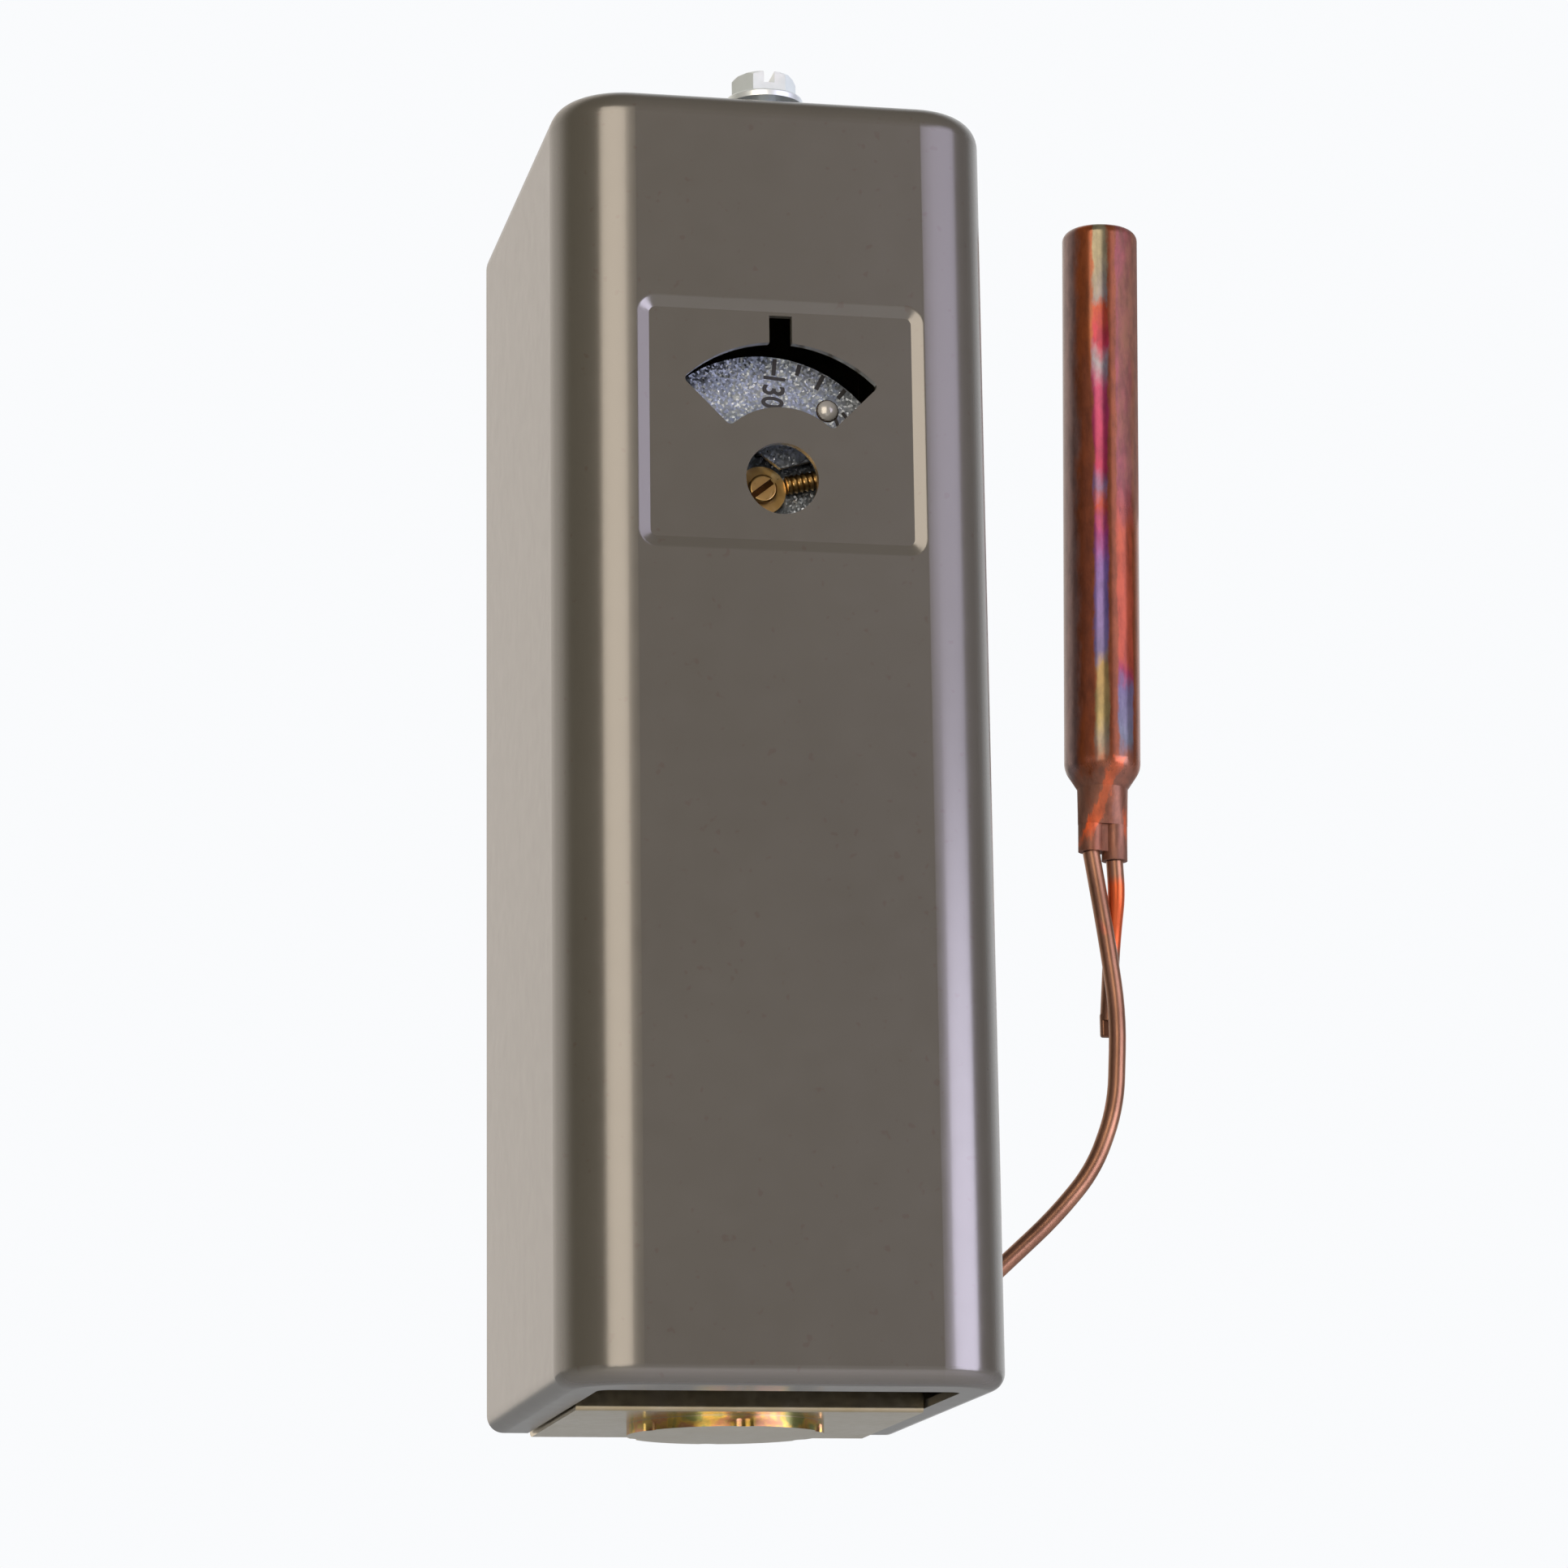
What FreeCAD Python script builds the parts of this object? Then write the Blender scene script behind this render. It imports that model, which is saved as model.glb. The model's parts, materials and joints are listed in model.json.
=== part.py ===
import FreeCAD, Part
import math
import os

# Remote bulb aquastat: a temperature switch in a narrow sheet steel case, worked by a
# liquid-filled copper bulb on a thin tube. All sizes are in millimetres.
# X runs to the right, Y towards the wall and Z up. The origin is the centre of the two
# wall holes, on the back face of the chassis.

# Cover, one deep-drawn shell
COVER_WIDTH = 48.8
COVER_HEIGHT = 143.0
COVER_DEPTH = 57.5
COVER_WALL = 0.9
COVER_CORNER_RADIUS = 8.3
COVER_TOP_RADIUS = 3.0
COVER_BOTTOM_RADIUS = 2.0
COVER_REAR_GAP = 0.8
COVER_REAR_CORNER_RADIUS = 0.5
SIDE_LIP_WIDTH = 4.7
FRONT_LIP_WIDTH = 7.5
LIP_CORNER_RADIUS = 1.5

# Pressed panel, with its window and the access hole for a screwdriver
PANEL_SIDE_MARGIN = 0.75
PANEL_HEIGHT = 27.3
PANEL_TOP_DROP = 24.7
PANEL_RECESS = 0.45
PANEL_SLOPE = 1.3
PANEL_CORNER_RADIUS = 1.4
PANEL_EDGE_RADIUS = 0.8
ACCESS_HOLE_RADIUS = 4.05
ACCESS_HOLE_ABOVE_PANEL_FOOT = 7.7
WINDOW_OUTER_RADIUS = 15.5
WINDOW_INNER_RADIUS = 8.1
WINDOW_HALF_ANGLE = 45.0
WINDOW_CORNER_RADIUS = 0.6
INDICATOR_WIDTH = 2.55
INDICATOR_REACH = 18.55

# Cover screw and its nut
SCREW_SETBACK = 8.0
SCREW_SHANK_RADIUS = 1.7
SCREW_LENGTH = 10.0
SCREW_STANDOFF = 1.2
SCREW_WASHER_RADIUS = 4.35
SCREW_WASHER_THICKNESS = 0.8
SCREW_HEX_ACROSS_FLATS = 6.35
SCREW_HEX_HEIGHT = 2.4
SCREW_HEX_CHAMFER = 0.4
SCREW_SLOT_WIDTH = 1.2
SCREW_SLOT_DEPTH = 1.3
SCREW_HOLE_CLEARANCE = 0.5
NUT_WIDTH = 8.0
NUT_THICKNESS = 2.4
NUT_BELOW_TAB = 0.3

# Chassis, one folded sheet
CHASSIS_SHEET = 1.35
CHASSIS_COVER_GAP = 0.3
BEND_INSIDE_RADIUS = 0.8
FLANGE_DEPTH = 33.8
FLANGE_DROP = 0.5
FLANGE_LIP_HEIGHT = 6.5
FLANGE_LIP_RADIUS = 0.5
SIDE_FLANGE_DEPTH = 9.0
TAB_WIDTH = 18.0
TAB_END_BEYOND_SCREW = 4.0
TAB_SLOT_WIDTH = 4.4
WALL_HOLE_SPACING = 124.0
WALL_HOLE_RADIUS = 2.4
KNOCKOUT_RADIUS = 11.1
KNOCKOUT_FROM_WALL = 18.8
KNOCKOUT_PROUD = 1.25
KNOCKOUT_SCALLOPS = 6
KNOCKOUT_SCALLOP_RADIUS = 1.6
KNOCKOUT_SCALLOP_BITE = 0.45

# Fasteners inside the case
SMALL_SCREW_RADIUS = 1.45
SMALL_HEAD_RADIUS = 2.8
SMALL_HEAD_HEIGHT = 1.7
SMALL_SLOT_WIDTH = 0.8
SMALL_SLOT_DEPTH = 0.8
SCREW_PASS_CLEARANCE = 0.15
GROUND_SCREW_INSET = 8.7
GROUND_SCREW_ABOVE_FLANGE = 14.0
GROUND_HEAD_RADIUS = 3.6
GROUND_SHANK_LENGTH = 7.0

# Mechanism bracket
BRACKET_SHEET = 1.2
BRACKET_SIDE_ROOM = 3.0
BRACKET_ABOVE_DIAL = 9.0
BRACKET_PLATE_BELOW_DIAL = 11.0
BRACKET_LEG_BELOW_PIVOT = 6.0
BRACKET_FOOT_LENGTH = 8.0
BRACKET_FOOT_BELOW_DIAL = 16.0
LEG_WINDOW_DEPTH = 15.0
LEG_WINDOW_HEIGHT = 24.0
LEG_WINDOW_RADIUS = 3.0
LEG_WINDOW_BEHIND_PLATE = 5.0
RUNNING_CLEARANCE = 0.05

# Dial and its hub, on the adjusting screw
DIAL_RADIUS = 14.9
DIAL_SHEET = 0.6
DIAL_BEHIND_PANEL = 4.6
DIAL_SHIFT_X = -1.1
DIAL_SHIFT_Z = 0.35
DIAL_OPENING_RADIUS = 6.2
VEE_APEX_X = 1.8
VEE_APEX_Z = 2.1
VEE_LEFT_ANGLE = 143.0
VEE_RIGHT_ANGLE = 16.0
HUB_RADIUS = 13.2
HUB_SHEET = 1.0
HUB_BEHIND_DIAL = 2.45
RIVET_CIRCLE_RADIUS = 11.5
RIVET_ANGLE = 38.8
RIVET_COUNT = 3
RIVET_HEAD_RADIUS = 1.3
RIVET_HEAD_HEIGHT = 0.7
RIVET_SHANK_RADIUS = 0.9
RIVET_TAIL_HEIGHT = 0.4
STUD_RADIUS = 1.6
STUD_LENGTH = 1.1
STUD_SLOT_WIDTH = 0.7
STUD_SLOT_DEPTH = 1.0
STUD_SLOT_ANGLE = 38.0
COLLAR_RADIUS = 2.75
COLLAR_LENGTH = 1.3
SHAFT_RADIUS = 1.6
SHAFT_END_GAP = 1.2
BUSHING_RADIUS = 3.2
BUSHING_FLANGE_RADIUS = 4.6
BUSHING_FLANGE_THICKNESS = 1.2
CALIBRATION_RADIUS = 1.1
CALIBRATION_ANGLE = 13.0
CALIBRATION_LENGTH = 6.4
CALIBRATION_HEAD_RADIUS = 1.2
CALIBRATION_HEAD_LENGTH = 1.4
CALIBRATION_GAP = 0.1
EAR_THICKNESS = 1.0
EAR_WIDTH = 4.0

# Lever, pivot pin, range spring and its yoke
LEVER_SHEET = 1.5
LEVER_REAR_Y = -16.0
LEVER_ARM_WIDTH = 9.0
LEVER_TOP_WIDTH = 15.0
LEVER_SIDE_GAP = 1.5
LEVER_HUB_HEIGHT = 14.0
LEVER_ABOVE_DIAL = 6.5
LEVER_BELOW_STUD = 4.0
LEVER_EAR_DEPTH = 5.5
LEVER_EAR_HEIGHT = 9.0
LEVER_SCREW_HOLE_RADIUS = 3.2
LEVER_CORNER_RADIUS = 2.0
PIVOT_BELOW_DIAL = 27.55
PIVOT_FROM_LEVER_REAR = 4.0
PIN_RADIUS = 1.5
PIN_STICKOUT = 1.2
PIN_CLIP_RADIUS = 2.8
PIN_CLIP_THICKNESS = 0.6
SPRING_WIRE_RADIUS = 0.55
SPRING_WIRE_FLATS = 8
SPRING_COIL_RADIUS = 3.6
SPRING_TURNS = 5
YOKE_THICKNESS = 1.6
YOKE_BEHIND_LEVER = 10.4
YOKE_BOSS_RADIUS = 5.4
YOKE_ARM_HEIGHT = 4.0
YOKE_SLOT_CLEARANCE = 0.1
YOKE_TRAVEL_ROOM = 2.2

# Power element: two cups, a diaphragm and the push stud
ELEMENT_ABOVE_FLANGE = 27.5
ELEMENT_SIDE_GAP = 3.0
ELEMENT_RIM_WIDTH = 2.4
ELEMENT_WALL = 0.8
ELEMENT_BASE_DEPTH = 6.6
ELEMENT_CAP_DEPTH = 3.4
ELEMENT_MOUTH_RADIUS = 5.0
ELEMENT_EDGE_RADIUS = 1.5
DIAPHRAGM_THICKNESS = 0.3
ELEMENT_BOSS_RADIUS = 3.0
PUSH_FOOT_SHARE = 0.6
PUSH_FOOT_THICKNESS = 0.8
PUSH_STUD_RADIUS = 2.6
CONTACT_GAP = 0.06
LEVER_SWING = 2.0

# Snap switch, its bracket and terminals
SWITCH_SIDE_ROOM = 6.2
SWITCH_ABOVE_FLANGE = 15.5
SWITCH_HEIGHT = 42.0
SWITCH_DEPTH = 18.0
SWITCH_LEVER_GAP = 4.5
SWITCH_EDGE_RADIUS = 1.2
SWITCH_BRACKET_SHEET = 1.2
SWITCH_BRACKET_SIDE_GAP = 1.0
SWITCH_BRACKET_MARGIN = 2.0
SWITCH_FOOT_LENGTH = 9.0
SWITCH_FOOT_HEIGHT = 11.0
BARRIER_THICKNESS = 1.4
BARRIER_HEIGHT = 3.2
TERMINAL_COUNT = 3
TERMINAL_SIDE_GAP = 0.8
TERMINAL_HEIGHT = 10.0
TERMINAL_THICKNESS = 0.9
TERMINAL_ABOVE_SWITCH_FOOT = 8.5
TERMINAL_SCREW_LENGTH = 7.0
SWITCH_SCREW_INSET = 4.5
SWITCH_LID_SIDE_MARGIN = 8.5
SWITCH_LID_HEIGHT = 16.0
SWITCH_LID_THICKNESS = 1.2
SWITCH_LID_BELOW_TOP = 4.0
PLUNGER_RADIUS = 2.0
PLUNGER_FLANGE_RADIUS = 2.8
PLUNGER_FLANGE_THICKNESS = 0.8
PLUNGER_BORE_DEPTH = 7.0
PLUNGER_ABOVE_ELEMENT = 14.0

# Copper bulb, capillary and charge tube
BULB_RADIUS = 4.6
BULB_LENGTH = 68.0
BULB_BESIDE_COVER = 25.3
BULB_FOOT_ABOVE_FLANGE = 79.4
BULB_LEAN = 1.3
BULB_END_RADIUS = 1.2
TUBE_Y = -5.3
SHOULDER_LENGTH = 2.4
SHOULDER_ROUNDING = 3.0
NECK_RADIUS = 3.05
NECK_FLAT = 1.62
NECK_TAPER_LENGTH = 4.4
LOBE_RADIUS = 1.55
LOBE_OFFSET = 1.45
LOBE_WEB = 1.1
LEFT_LOBE_LENGTH = 10.1
RIGHT_LOBE_LENGTH = 11.1
CAPILLARY_RADIUS = 1.02
CAPILLARY_ARC_SHARE = 0.45
CAPILLARY_FIRST_DROP = 10.8
# Free bends of the capillary: X beyond the cover's side, and share of the first bend's height
CAPILLARY_FREE_BENDS = [(26.4, 0.846), (25.8, 0.658), (22.9, 0.530), (17.9, 0.431)]
# Its bends at the case: X beyond the cover's side, and height above the flange
CAPILLARY_ENTRY_BENDS = [(0.2, 9.2), (-7.4, 5.4), (-13.4, 7.4)]
CAPILLARY_ENTRY_ANGLE = -62.0
EXIT_NOTCH_HALF_HEIGHT = 3.0
EXIT_NOTCH_CLEARANCE = 1.6
# Bends of the charge tube: X and Y from the lobe's end, and the drop below it
CHARGE_TUBE_BENDS = [(0.25, 0.3, 4.0), (0.0, 2.4, 10.0), (-0.6, 2.6, 19.0)]
CHARGE_PINCH_LENGTH = 3.0

# Places worked out from the sizes above
COVER_TOP_Z = COVER_HEIGHT / 2
COVER_BOTTOM_Z = -COVER_HEIGHT / 2
COVER_REAR_Y = -COVER_REAR_GAP
COVER_FRONT_Y = COVER_REAR_Y - COVER_DEPTH
INNER_HALF_WIDTH = COVER_WIDTH / 2 - COVER_WALL
PANEL_FACE_Y = COVER_FRONT_Y + PANEL_RECESS
PANEL_WIDTH = COVER_WIDTH - 2 * COVER_CORNER_RADIUS - 2 * PANEL_SIDE_MARGIN
PANEL_CENTRE_Z = COVER_TOP_Z - PANEL_TOP_DROP - PANEL_HEIGHT / 2
ACCESS_Z = PANEL_CENTRE_Z - PANEL_HEIGHT / 2 + ACCESS_HOLE_ABOVE_PANEL_FOOT
SCREW_Y = COVER_FRONT_Y + SCREW_SETBACK
SCREW_HEAD_Z = COVER_TOP_Z + SCREW_STANDOFF
CHASSIS_HALF_WIDTH = INNER_HALF_WIDTH - CHASSIS_COVER_GAP
CHASSIS_TOP_Z = COVER_TOP_Z - COVER_WALL - CHASSIS_COVER_GAP
FLANGE_FACE_Z = COVER_BOTTOM_Z - FLANGE_DROP
FLANGE_TOP_Z = FLANGE_FACE_Z + CHASSIS_SHEET
FLANGE_HALF_WIDTH = COVER_WIDTH / 2 - SIDE_LIP_WIDTH - CHASSIS_COVER_GAP
FLANGE_FRONT_Y = -FLANGE_DEPTH
PLATE_FACE_Y = -CHASSIS_SHEET
DIAL_X = DIAL_SHIFT_X
DIAL_Z = ACCESS_Z + DIAL_SHIFT_Z
DIAL_FACE_Y = PANEL_FACE_Y + DIAL_BEHIND_PANEL
DIAL_BACK_Y = DIAL_FACE_Y + DIAL_SHEET
HUB_FACE_Y = DIAL_BACK_Y + HUB_BEHIND_DIAL
HUB_BACK_Y = HUB_FACE_Y + HUB_SHEET
BRACKET_FACE_Y = HUB_BACK_Y + RIVET_TAIL_HEIGHT + 2 * RUNNING_CLEARANCE + 0.3
BRACKET_BACK_Y = BRACKET_FACE_Y + BRACKET_SHEET
BRACKET_HALF_WIDTH = CHASSIS_HALF_WIDTH - BRACKET_SIDE_ROOM
PIVOT_Z = DIAL_Z - PIVOT_BELOW_DIAL
PIVOT_Y = LEVER_REAR_Y - PIVOT_FROM_LEVER_REAR
LEVER_FACE_Y = LEVER_REAR_Y - LEVER_SHEET
LEVER_HUB_HALF_WIDTH = BRACKET_HALF_WIDTH - BRACKET_SHEET - LEVER_SIDE_GAP
YOKE_FACE_Y = LEVER_REAR_Y + YOKE_BEHIND_LEVER
ELEMENT_Z = COVER_BOTTOM_Z + ELEMENT_ABOVE_FLANGE
ELEMENT_RIM_Y = PLATE_FACE_Y - ELEMENT_BASE_DEPTH
PLUNGER_Z = ELEMENT_Z + PLUNGER_ABOVE_ELEMENT
SWITCH_BACK_Y = LEVER_FACE_Y - SWITCH_LEVER_GAP
SWITCH_FACE_Y = SWITCH_BACK_Y - SWITCH_DEPTH
SWITCH_HALF_WIDTH = CHASSIS_HALF_WIDTH - SWITCH_SIDE_ROOM
SWITCH_FOOT_Z = COVER_BOTTOM_Z + SWITCH_ABOVE_FLANGE
SWITCH_TOP_Z = SWITCH_FOOT_Z + SWITCH_HEIGHT
SWITCH_LEG_X = SWITCH_HALF_WIDTH + SWITCH_BRACKET_SIDE_GAP
ELEMENT_RIM_RADIUS = SWITCH_LEG_X - ELEMENT_SIDE_GAP
ELEMENT_RADIUS = ELEMENT_RIM_RADIUS - ELEMENT_RIM_WIDTH
PUSH_FOOT_RADIUS = PUSH_FOOT_SHARE * ELEMENT_RADIUS
GROUND_SCREW_X = GROUND_SCREW_INSET - CHASSIS_HALF_WIDTH
BULB_FOOT_X = COVER_WIDTH / 2 + BULB_BESIDE_COVER
BULB_FOOT_Z = COVER_BOTTOM_Z + BULB_FOOT_ABOVE_FLANGE
TERMINAL_PITCH = 2 * SWITCH_HALF_WIDTH / TERMINAL_COUNT
TERMINAL_WIDTH = TERMINAL_PITCH - BARRIER_THICKNESS - 2 * TERMINAL_SIDE_GAP
SWITCH_SCREW_PLACES = [
    (-SWITCH_HALF_WIDTH + SWITCH_SCREW_INSET, SWITCH_TOP_Z - SWITCH_SCREW_INSET),
    (SWITCH_HALF_WIDTH - SWITCH_SCREW_INSET, SWITCH_TOP_Z - SWITCH_SCREW_INSET),
]
TERMINAL_PLACES = [
    ((i - (TERMINAL_COUNT - 1) / 2) * TERMINAL_PITCH, SWITCH_FOOT_Z + TERMINAL_ABOVE_SWITCH_FOOT)
    for i in range(TERMINAL_COUNT)
]
BRACKET_SCREW_X = BRACKET_HALF_WIDTH - BRACKET_SHEET - BRACKET_FOOT_LENGTH / 2
BRACKET_SCREW_PLACES = [
    (side * BRACKET_SCREW_X, DIAL_Z + rise)
    for side in (-1, 1)
    for rise in (BRACKET_ABOVE_DIAL - BRACKET_FOOT_LENGTH / 2,
                 BRACKET_FOOT_LENGTH / 2 - BRACKET_FOOT_BELOW_DIAL)
]
SWITCH_BRACKET_SCREW_PLACES = [
    (side * (SWITCH_LEG_X - SWITCH_FOOT_LENGTH / 2), SWITCH_TOP_Z - SWITCH_FOOT_HEIGHT / 2)
    for side in (-1, 1)
]


def vec(x, y, z):
    return FreeCAD.Vector(x, y, z)


def block(x0, x1, y0, y1, z0, z1):
    return Part.makeBox(x1 - x0, y1 - y0, z1 - z0, vec(x0, y0, z0))


def rod_y(radius, x, z, y_front, y_back):
    return Part.makeCylinder(radius, y_back - y_front, vec(x, y_front, z), vec(0, 1, 0))


def rod_z(radius, x, y, z_low, z_high):
    return Part.makeCylinder(radius, z_high - z_low, vec(x, y, z_low), vec(0, 0, 1))


def rod_x(radius, y, z, x_left, x_right):
    return Part.makeCylinder(radius, x_right - x_left, vec(x_left, y, z), vec(1, 0, 0))


def rounded(shape, radius, chosen):
    """Fillet the edges that the test picks."""
    return shape.makeFillet(radius, [edge for edge in shape.Edges if chosen(edge)])


def runs_along(edge, axis):
    """True where a straight edge runs along one of the axes."""
    size = edge.BoundBox
    lengths = {"x": size.XLength, "y": size.YLength, "z": size.ZLength}
    own = lengths.pop(axis)
    return own > 1e-3 and max(lengths.values()) < 1e-3


def near(value, target):
    return abs(value - target) < 1e-3


def prism_y(outline, y_front, y_back):
    """Extrude a closed outline of (x, z) points along Y."""
    points = [vec(x, y_front, z) for x, z in outline + outline[:1]]
    return Part.Face(Part.makePolygon(points)).extrude(vec(0, y_back - y_front, 0))


def prism_z(outline, z_low, z_high):
    """Extrude a closed outline of (x, y) points along Z."""
    points = [vec(x, y, z_low) for x, y in outline + outline[:1]]
    return Part.Face(Part.makePolygon(points)).extrude(vec(0, 0, z_high - z_low))


def prism_x(outline, x_left, x_right):
    """Extrude a closed outline of (y, z) points along X."""
    points = [vec(x_left, y, z) for y, z in outline + outline[:1]]
    return Part.Face(Part.makePolygon(points)).extrude(vec(x_right - x_left, 0, 0))


def slotted_head(radius, height, x, z, y_seat):
    """A round screw head on a face at y_seat, pointing to the front, with its slot."""
    chamfer = height / 3
    head = rod_y(radius, x, z, y_seat - height + chamfer, y_seat)
    crown = Part.makeCone(radius - chamfer, radius, chamfer, vec(x, y_seat - height, z), vec(0, 1, 0))
    head = head.fuse(crown)
    slot = block(x - radius, x + radius, y_seat - height - 1, y_seat - height + SMALL_SLOT_DEPTH,
                 z - SMALL_SLOT_WIDTH / 2, z + SMALL_SLOT_WIDTH / 2)
    return head.cut(slot)


def small_screw(x, z, y_seat, y_end):
    """A slotted machine screw with its head on y_seat and its shank's end at y_end."""
    shank = rod_y(SMALL_SCREW_RADIUS, x, z, y_seat, y_end)
    return slotted_head(SMALL_HEAD_RADIUS, SMALL_HEAD_HEIGHT, x, z, y_seat).fuse(shank)


def cover_form(inset, rear_y):
    """The cover's outer form, or the room inside it when inset by the wall."""
    half = COVER_WIDTH / 2 - inset
    front = COVER_FRONT_Y + inset
    top = COVER_TOP_Z - inset
    bottom = COVER_BOTTOM_Z + inset
    form = block(-half, half, front, rear_y, bottom, top)
    form = rounded(form, COVER_CORNER_RADIUS - inset,
                   lambda edge: runs_along(edge, "z") and near(edge.BoundBox.YMax, front))
    form = rounded(form, COVER_TOP_RADIUS - inset,
                   lambda edge: near(edge.BoundBox.ZMin, top) and edge.BoundBox.YMin < rear_y - 1)
    return rounded(form, COVER_BOTTOM_RADIUS - inset,
                   lambda edge: near(edge.BoundBox.ZMax, bottom) and edge.BoundBox.YMin < rear_y - 1)


def rounded_rectangle(y, half_width, half_height, radius, centre_z):
    """A wire in the XZ plane: a rectangle about X = 0 with round corners."""
    x = half_width - radius
    z = half_height - radius
    quarter = math.sqrt(0.5) * radius
    edges = []
    for sx, sz in ((1, 1), (-1, 1), (-1, -1), (1, -1)):
        corner = (sx * x, centre_z + sz * z)
        beside = vec(corner[0] + sx * radius, y, corner[1])
        above = vec(corner[0], y, corner[1] + sz * radius)
        middle = vec(corner[0] + sx * quarter, y, corner[1] + sz * quarter)
        start, end = (beside, above) if sx * sz > 0 else (above, beside)
        if edges:
            edges.append(Part.LineSegment(edges[-1].Vertexes[-1].Point, start).toShape())
        edges.append(Part.Arc(start, middle, end).toShape())
    edges.append(Part.LineSegment(edges[-1].Vertexes[-1].Point, edges[0].Vertexes[0].Point).toShape())
    return Part.Wire(edges)


def panel_tray(face_y, grow):
    """The pressed panel's form, from a face at face_y to its floor."""
    def outline(y, extra):
        return rounded_rectangle(y, PANEL_WIDTH / 2 + extra, PANEL_HEIGHT / 2 + extra,
                                 PANEL_CORNER_RADIUS + extra, PANEL_CENTRE_Z)
    rim = outline(face_y, grow + PANEL_SLOPE / 2)
    floor = outline(face_y + PANEL_RECESS, grow - PANEL_SLOPE / 2)
    return Part.makeLoft([rim, floor], True, True)


def window_form():
    """The dial window: a sector about the access hole, with the indicator notch above."""
    swing = math.radians(WINDOW_HALF_ANGLE)
    y = COVER_FRONT_Y

    def at(radius, angle):
        return vec(radius * math.sin(angle), y, ACCESS_Z + radius * math.cos(angle))
    outer = Part.Arc(at(WINDOW_OUTER_RADIUS, -swing), at(WINDOW_OUTER_RADIUS, 0), at(WINDOW_OUTER_RADIUS, swing))
    inner = Part.Arc(at(WINDOW_INNER_RADIUS, swing), at(WINDOW_INNER_RADIUS, 0), at(WINDOW_INNER_RADIUS, -swing))
    right = Part.LineSegment(at(WINDOW_OUTER_RADIUS, swing), at(WINDOW_INNER_RADIUS, swing))
    left = Part.LineSegment(at(WINDOW_INNER_RADIUS, -swing), at(WINDOW_OUTER_RADIUS, -swing))
    wire = Part.Wire([outer.toShape(), right.toShape(), inner.toShape(), left.toShape()])
    through = PANEL_RECESS + 2 * COVER_WALL
    sector = Part.Face(wire).extrude(vec(0, through, 0))
    sector = rounded(sector, WINDOW_CORNER_RADIUS, lambda edge: runs_along(edge, "y"))
    notch = block(-INDICATOR_WIDTH / 2, INDICATOR_WIDTH / 2, y, y + through,
                  ACCESS_Z + (WINDOW_INNER_RADIUS + WINDOW_OUTER_RADIUS) / 2, ACCESS_Z + INDICATOR_REACH)
    return sector.fuse(notch)


def make_cover():
    beyond = COVER_REAR_Y + 1
    shell = cover_form(0, COVER_REAR_Y).cut(cover_form(COVER_WALL, beyond))
    shell = shell.fuse(panel_tray(COVER_FRONT_Y + COVER_WALL, 0))
    shell = shell.cut(panel_tray(COVER_FRONT_Y, 0)).removeSplitter()
    shell = rounded(shell, PANEL_EDGE_RADIUS,
                    lambda edge: near(edge.BoundBox.YMin, COVER_FRONT_Y)
                    and near(edge.BoundBox.YMax, COVER_FRONT_Y)
                    and abs(edge.CenterOfMass.x) < PANEL_WIDTH / 2 + PANEL_SLOPE
                    and abs(edge.CenterOfMass.z - PANEL_CENTRE_Z) < PANEL_HEIGHT / 2 + PANEL_SLOPE)
    opening_half = COVER_WIDTH / 2 - SIDE_LIP_WIDTH
    opening = block(-opening_half, opening_half, COVER_FRONT_Y + FRONT_LIP_WIDTH, beyond,
                    COVER_BOTTOM_Z - 1, COVER_BOTTOM_Z + 2 * COVER_WALL)
    opening = rounded(opening, LIP_CORNER_RADIUS,
                      lambda edge: runs_along(edge, "z") and edge.BoundBox.YMax < beyond - 1)
    shell = shell.cut(opening).cut(window_form())
    shell = shell.cut(rod_y(ACCESS_HOLE_RADIUS, 0, ACCESS_Z, COVER_FRONT_Y, BRACKET_FACE_Y))
    shell = shell.cut(rod_z(SCREW_SHANK_RADIUS + SCREW_HOLE_CLEARANCE, 0, SCREW_Y,
                            COVER_TOP_Z - 2 * COVER_WALL, COVER_TOP_Z + 1))
    shell = shell.cut(exit_notch(COVER_WIDTH / 2 - 2 * COVER_WALL, COVER_WIDTH / 2 + 1, 1))
    return shell.cut(rear_corner_waste()).removeSplitter()


def rear_corner_waste():
    """What is trimmed off to round the cover's lower rear corners."""
    reach = COVER_WIDTH / 2 + 1
    radius = COVER_REAR_CORNER_RADIUS
    corner = block(-reach, reach, COVER_REAR_Y - radius, COVER_REAR_Y + 1, COVER_BOTTOM_Z - 1, COVER_BOTTOM_Z + radius)
    return corner.cut(rod_x(radius, COVER_REAR_Y - radius, COVER_BOTTOM_Z + radius, -reach, reach))


def capillary_bends():
    """Corners of the capillary's route, from the first below the bulb to the last in the case."""
    side = COVER_WIDTH / 2
    first_height = BULB_FOOT_ABOVE_FLANGE - LEFT_LOBE_LENGTH - CAPILLARY_FIRST_DROP
    corners = [(BULB_BESIDE_COVER, first_height)]
    corners += [(beyond, share * first_height) for beyond, share in CAPILLARY_FREE_BENDS]
    corners += CAPILLARY_ENTRY_BENDS
    return [vec(side + beyond, TUBE_Y, COVER_BOTTOM_Z + height) for beyond, height in corners]


def capillary_exit_z():
    """Height at which the capillary passes the cover's side wall."""
    bends = capillary_bends()
    entries = len(CAPILLARY_ENTRY_BENDS)
    upper, lower = bends[-entries - 1], bends[-entries]
    share = (COVER_WIDTH / 2 - lower.x) / (upper.x - lower.x)
    return lower.z + share * (upper.z - lower.z)


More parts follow.
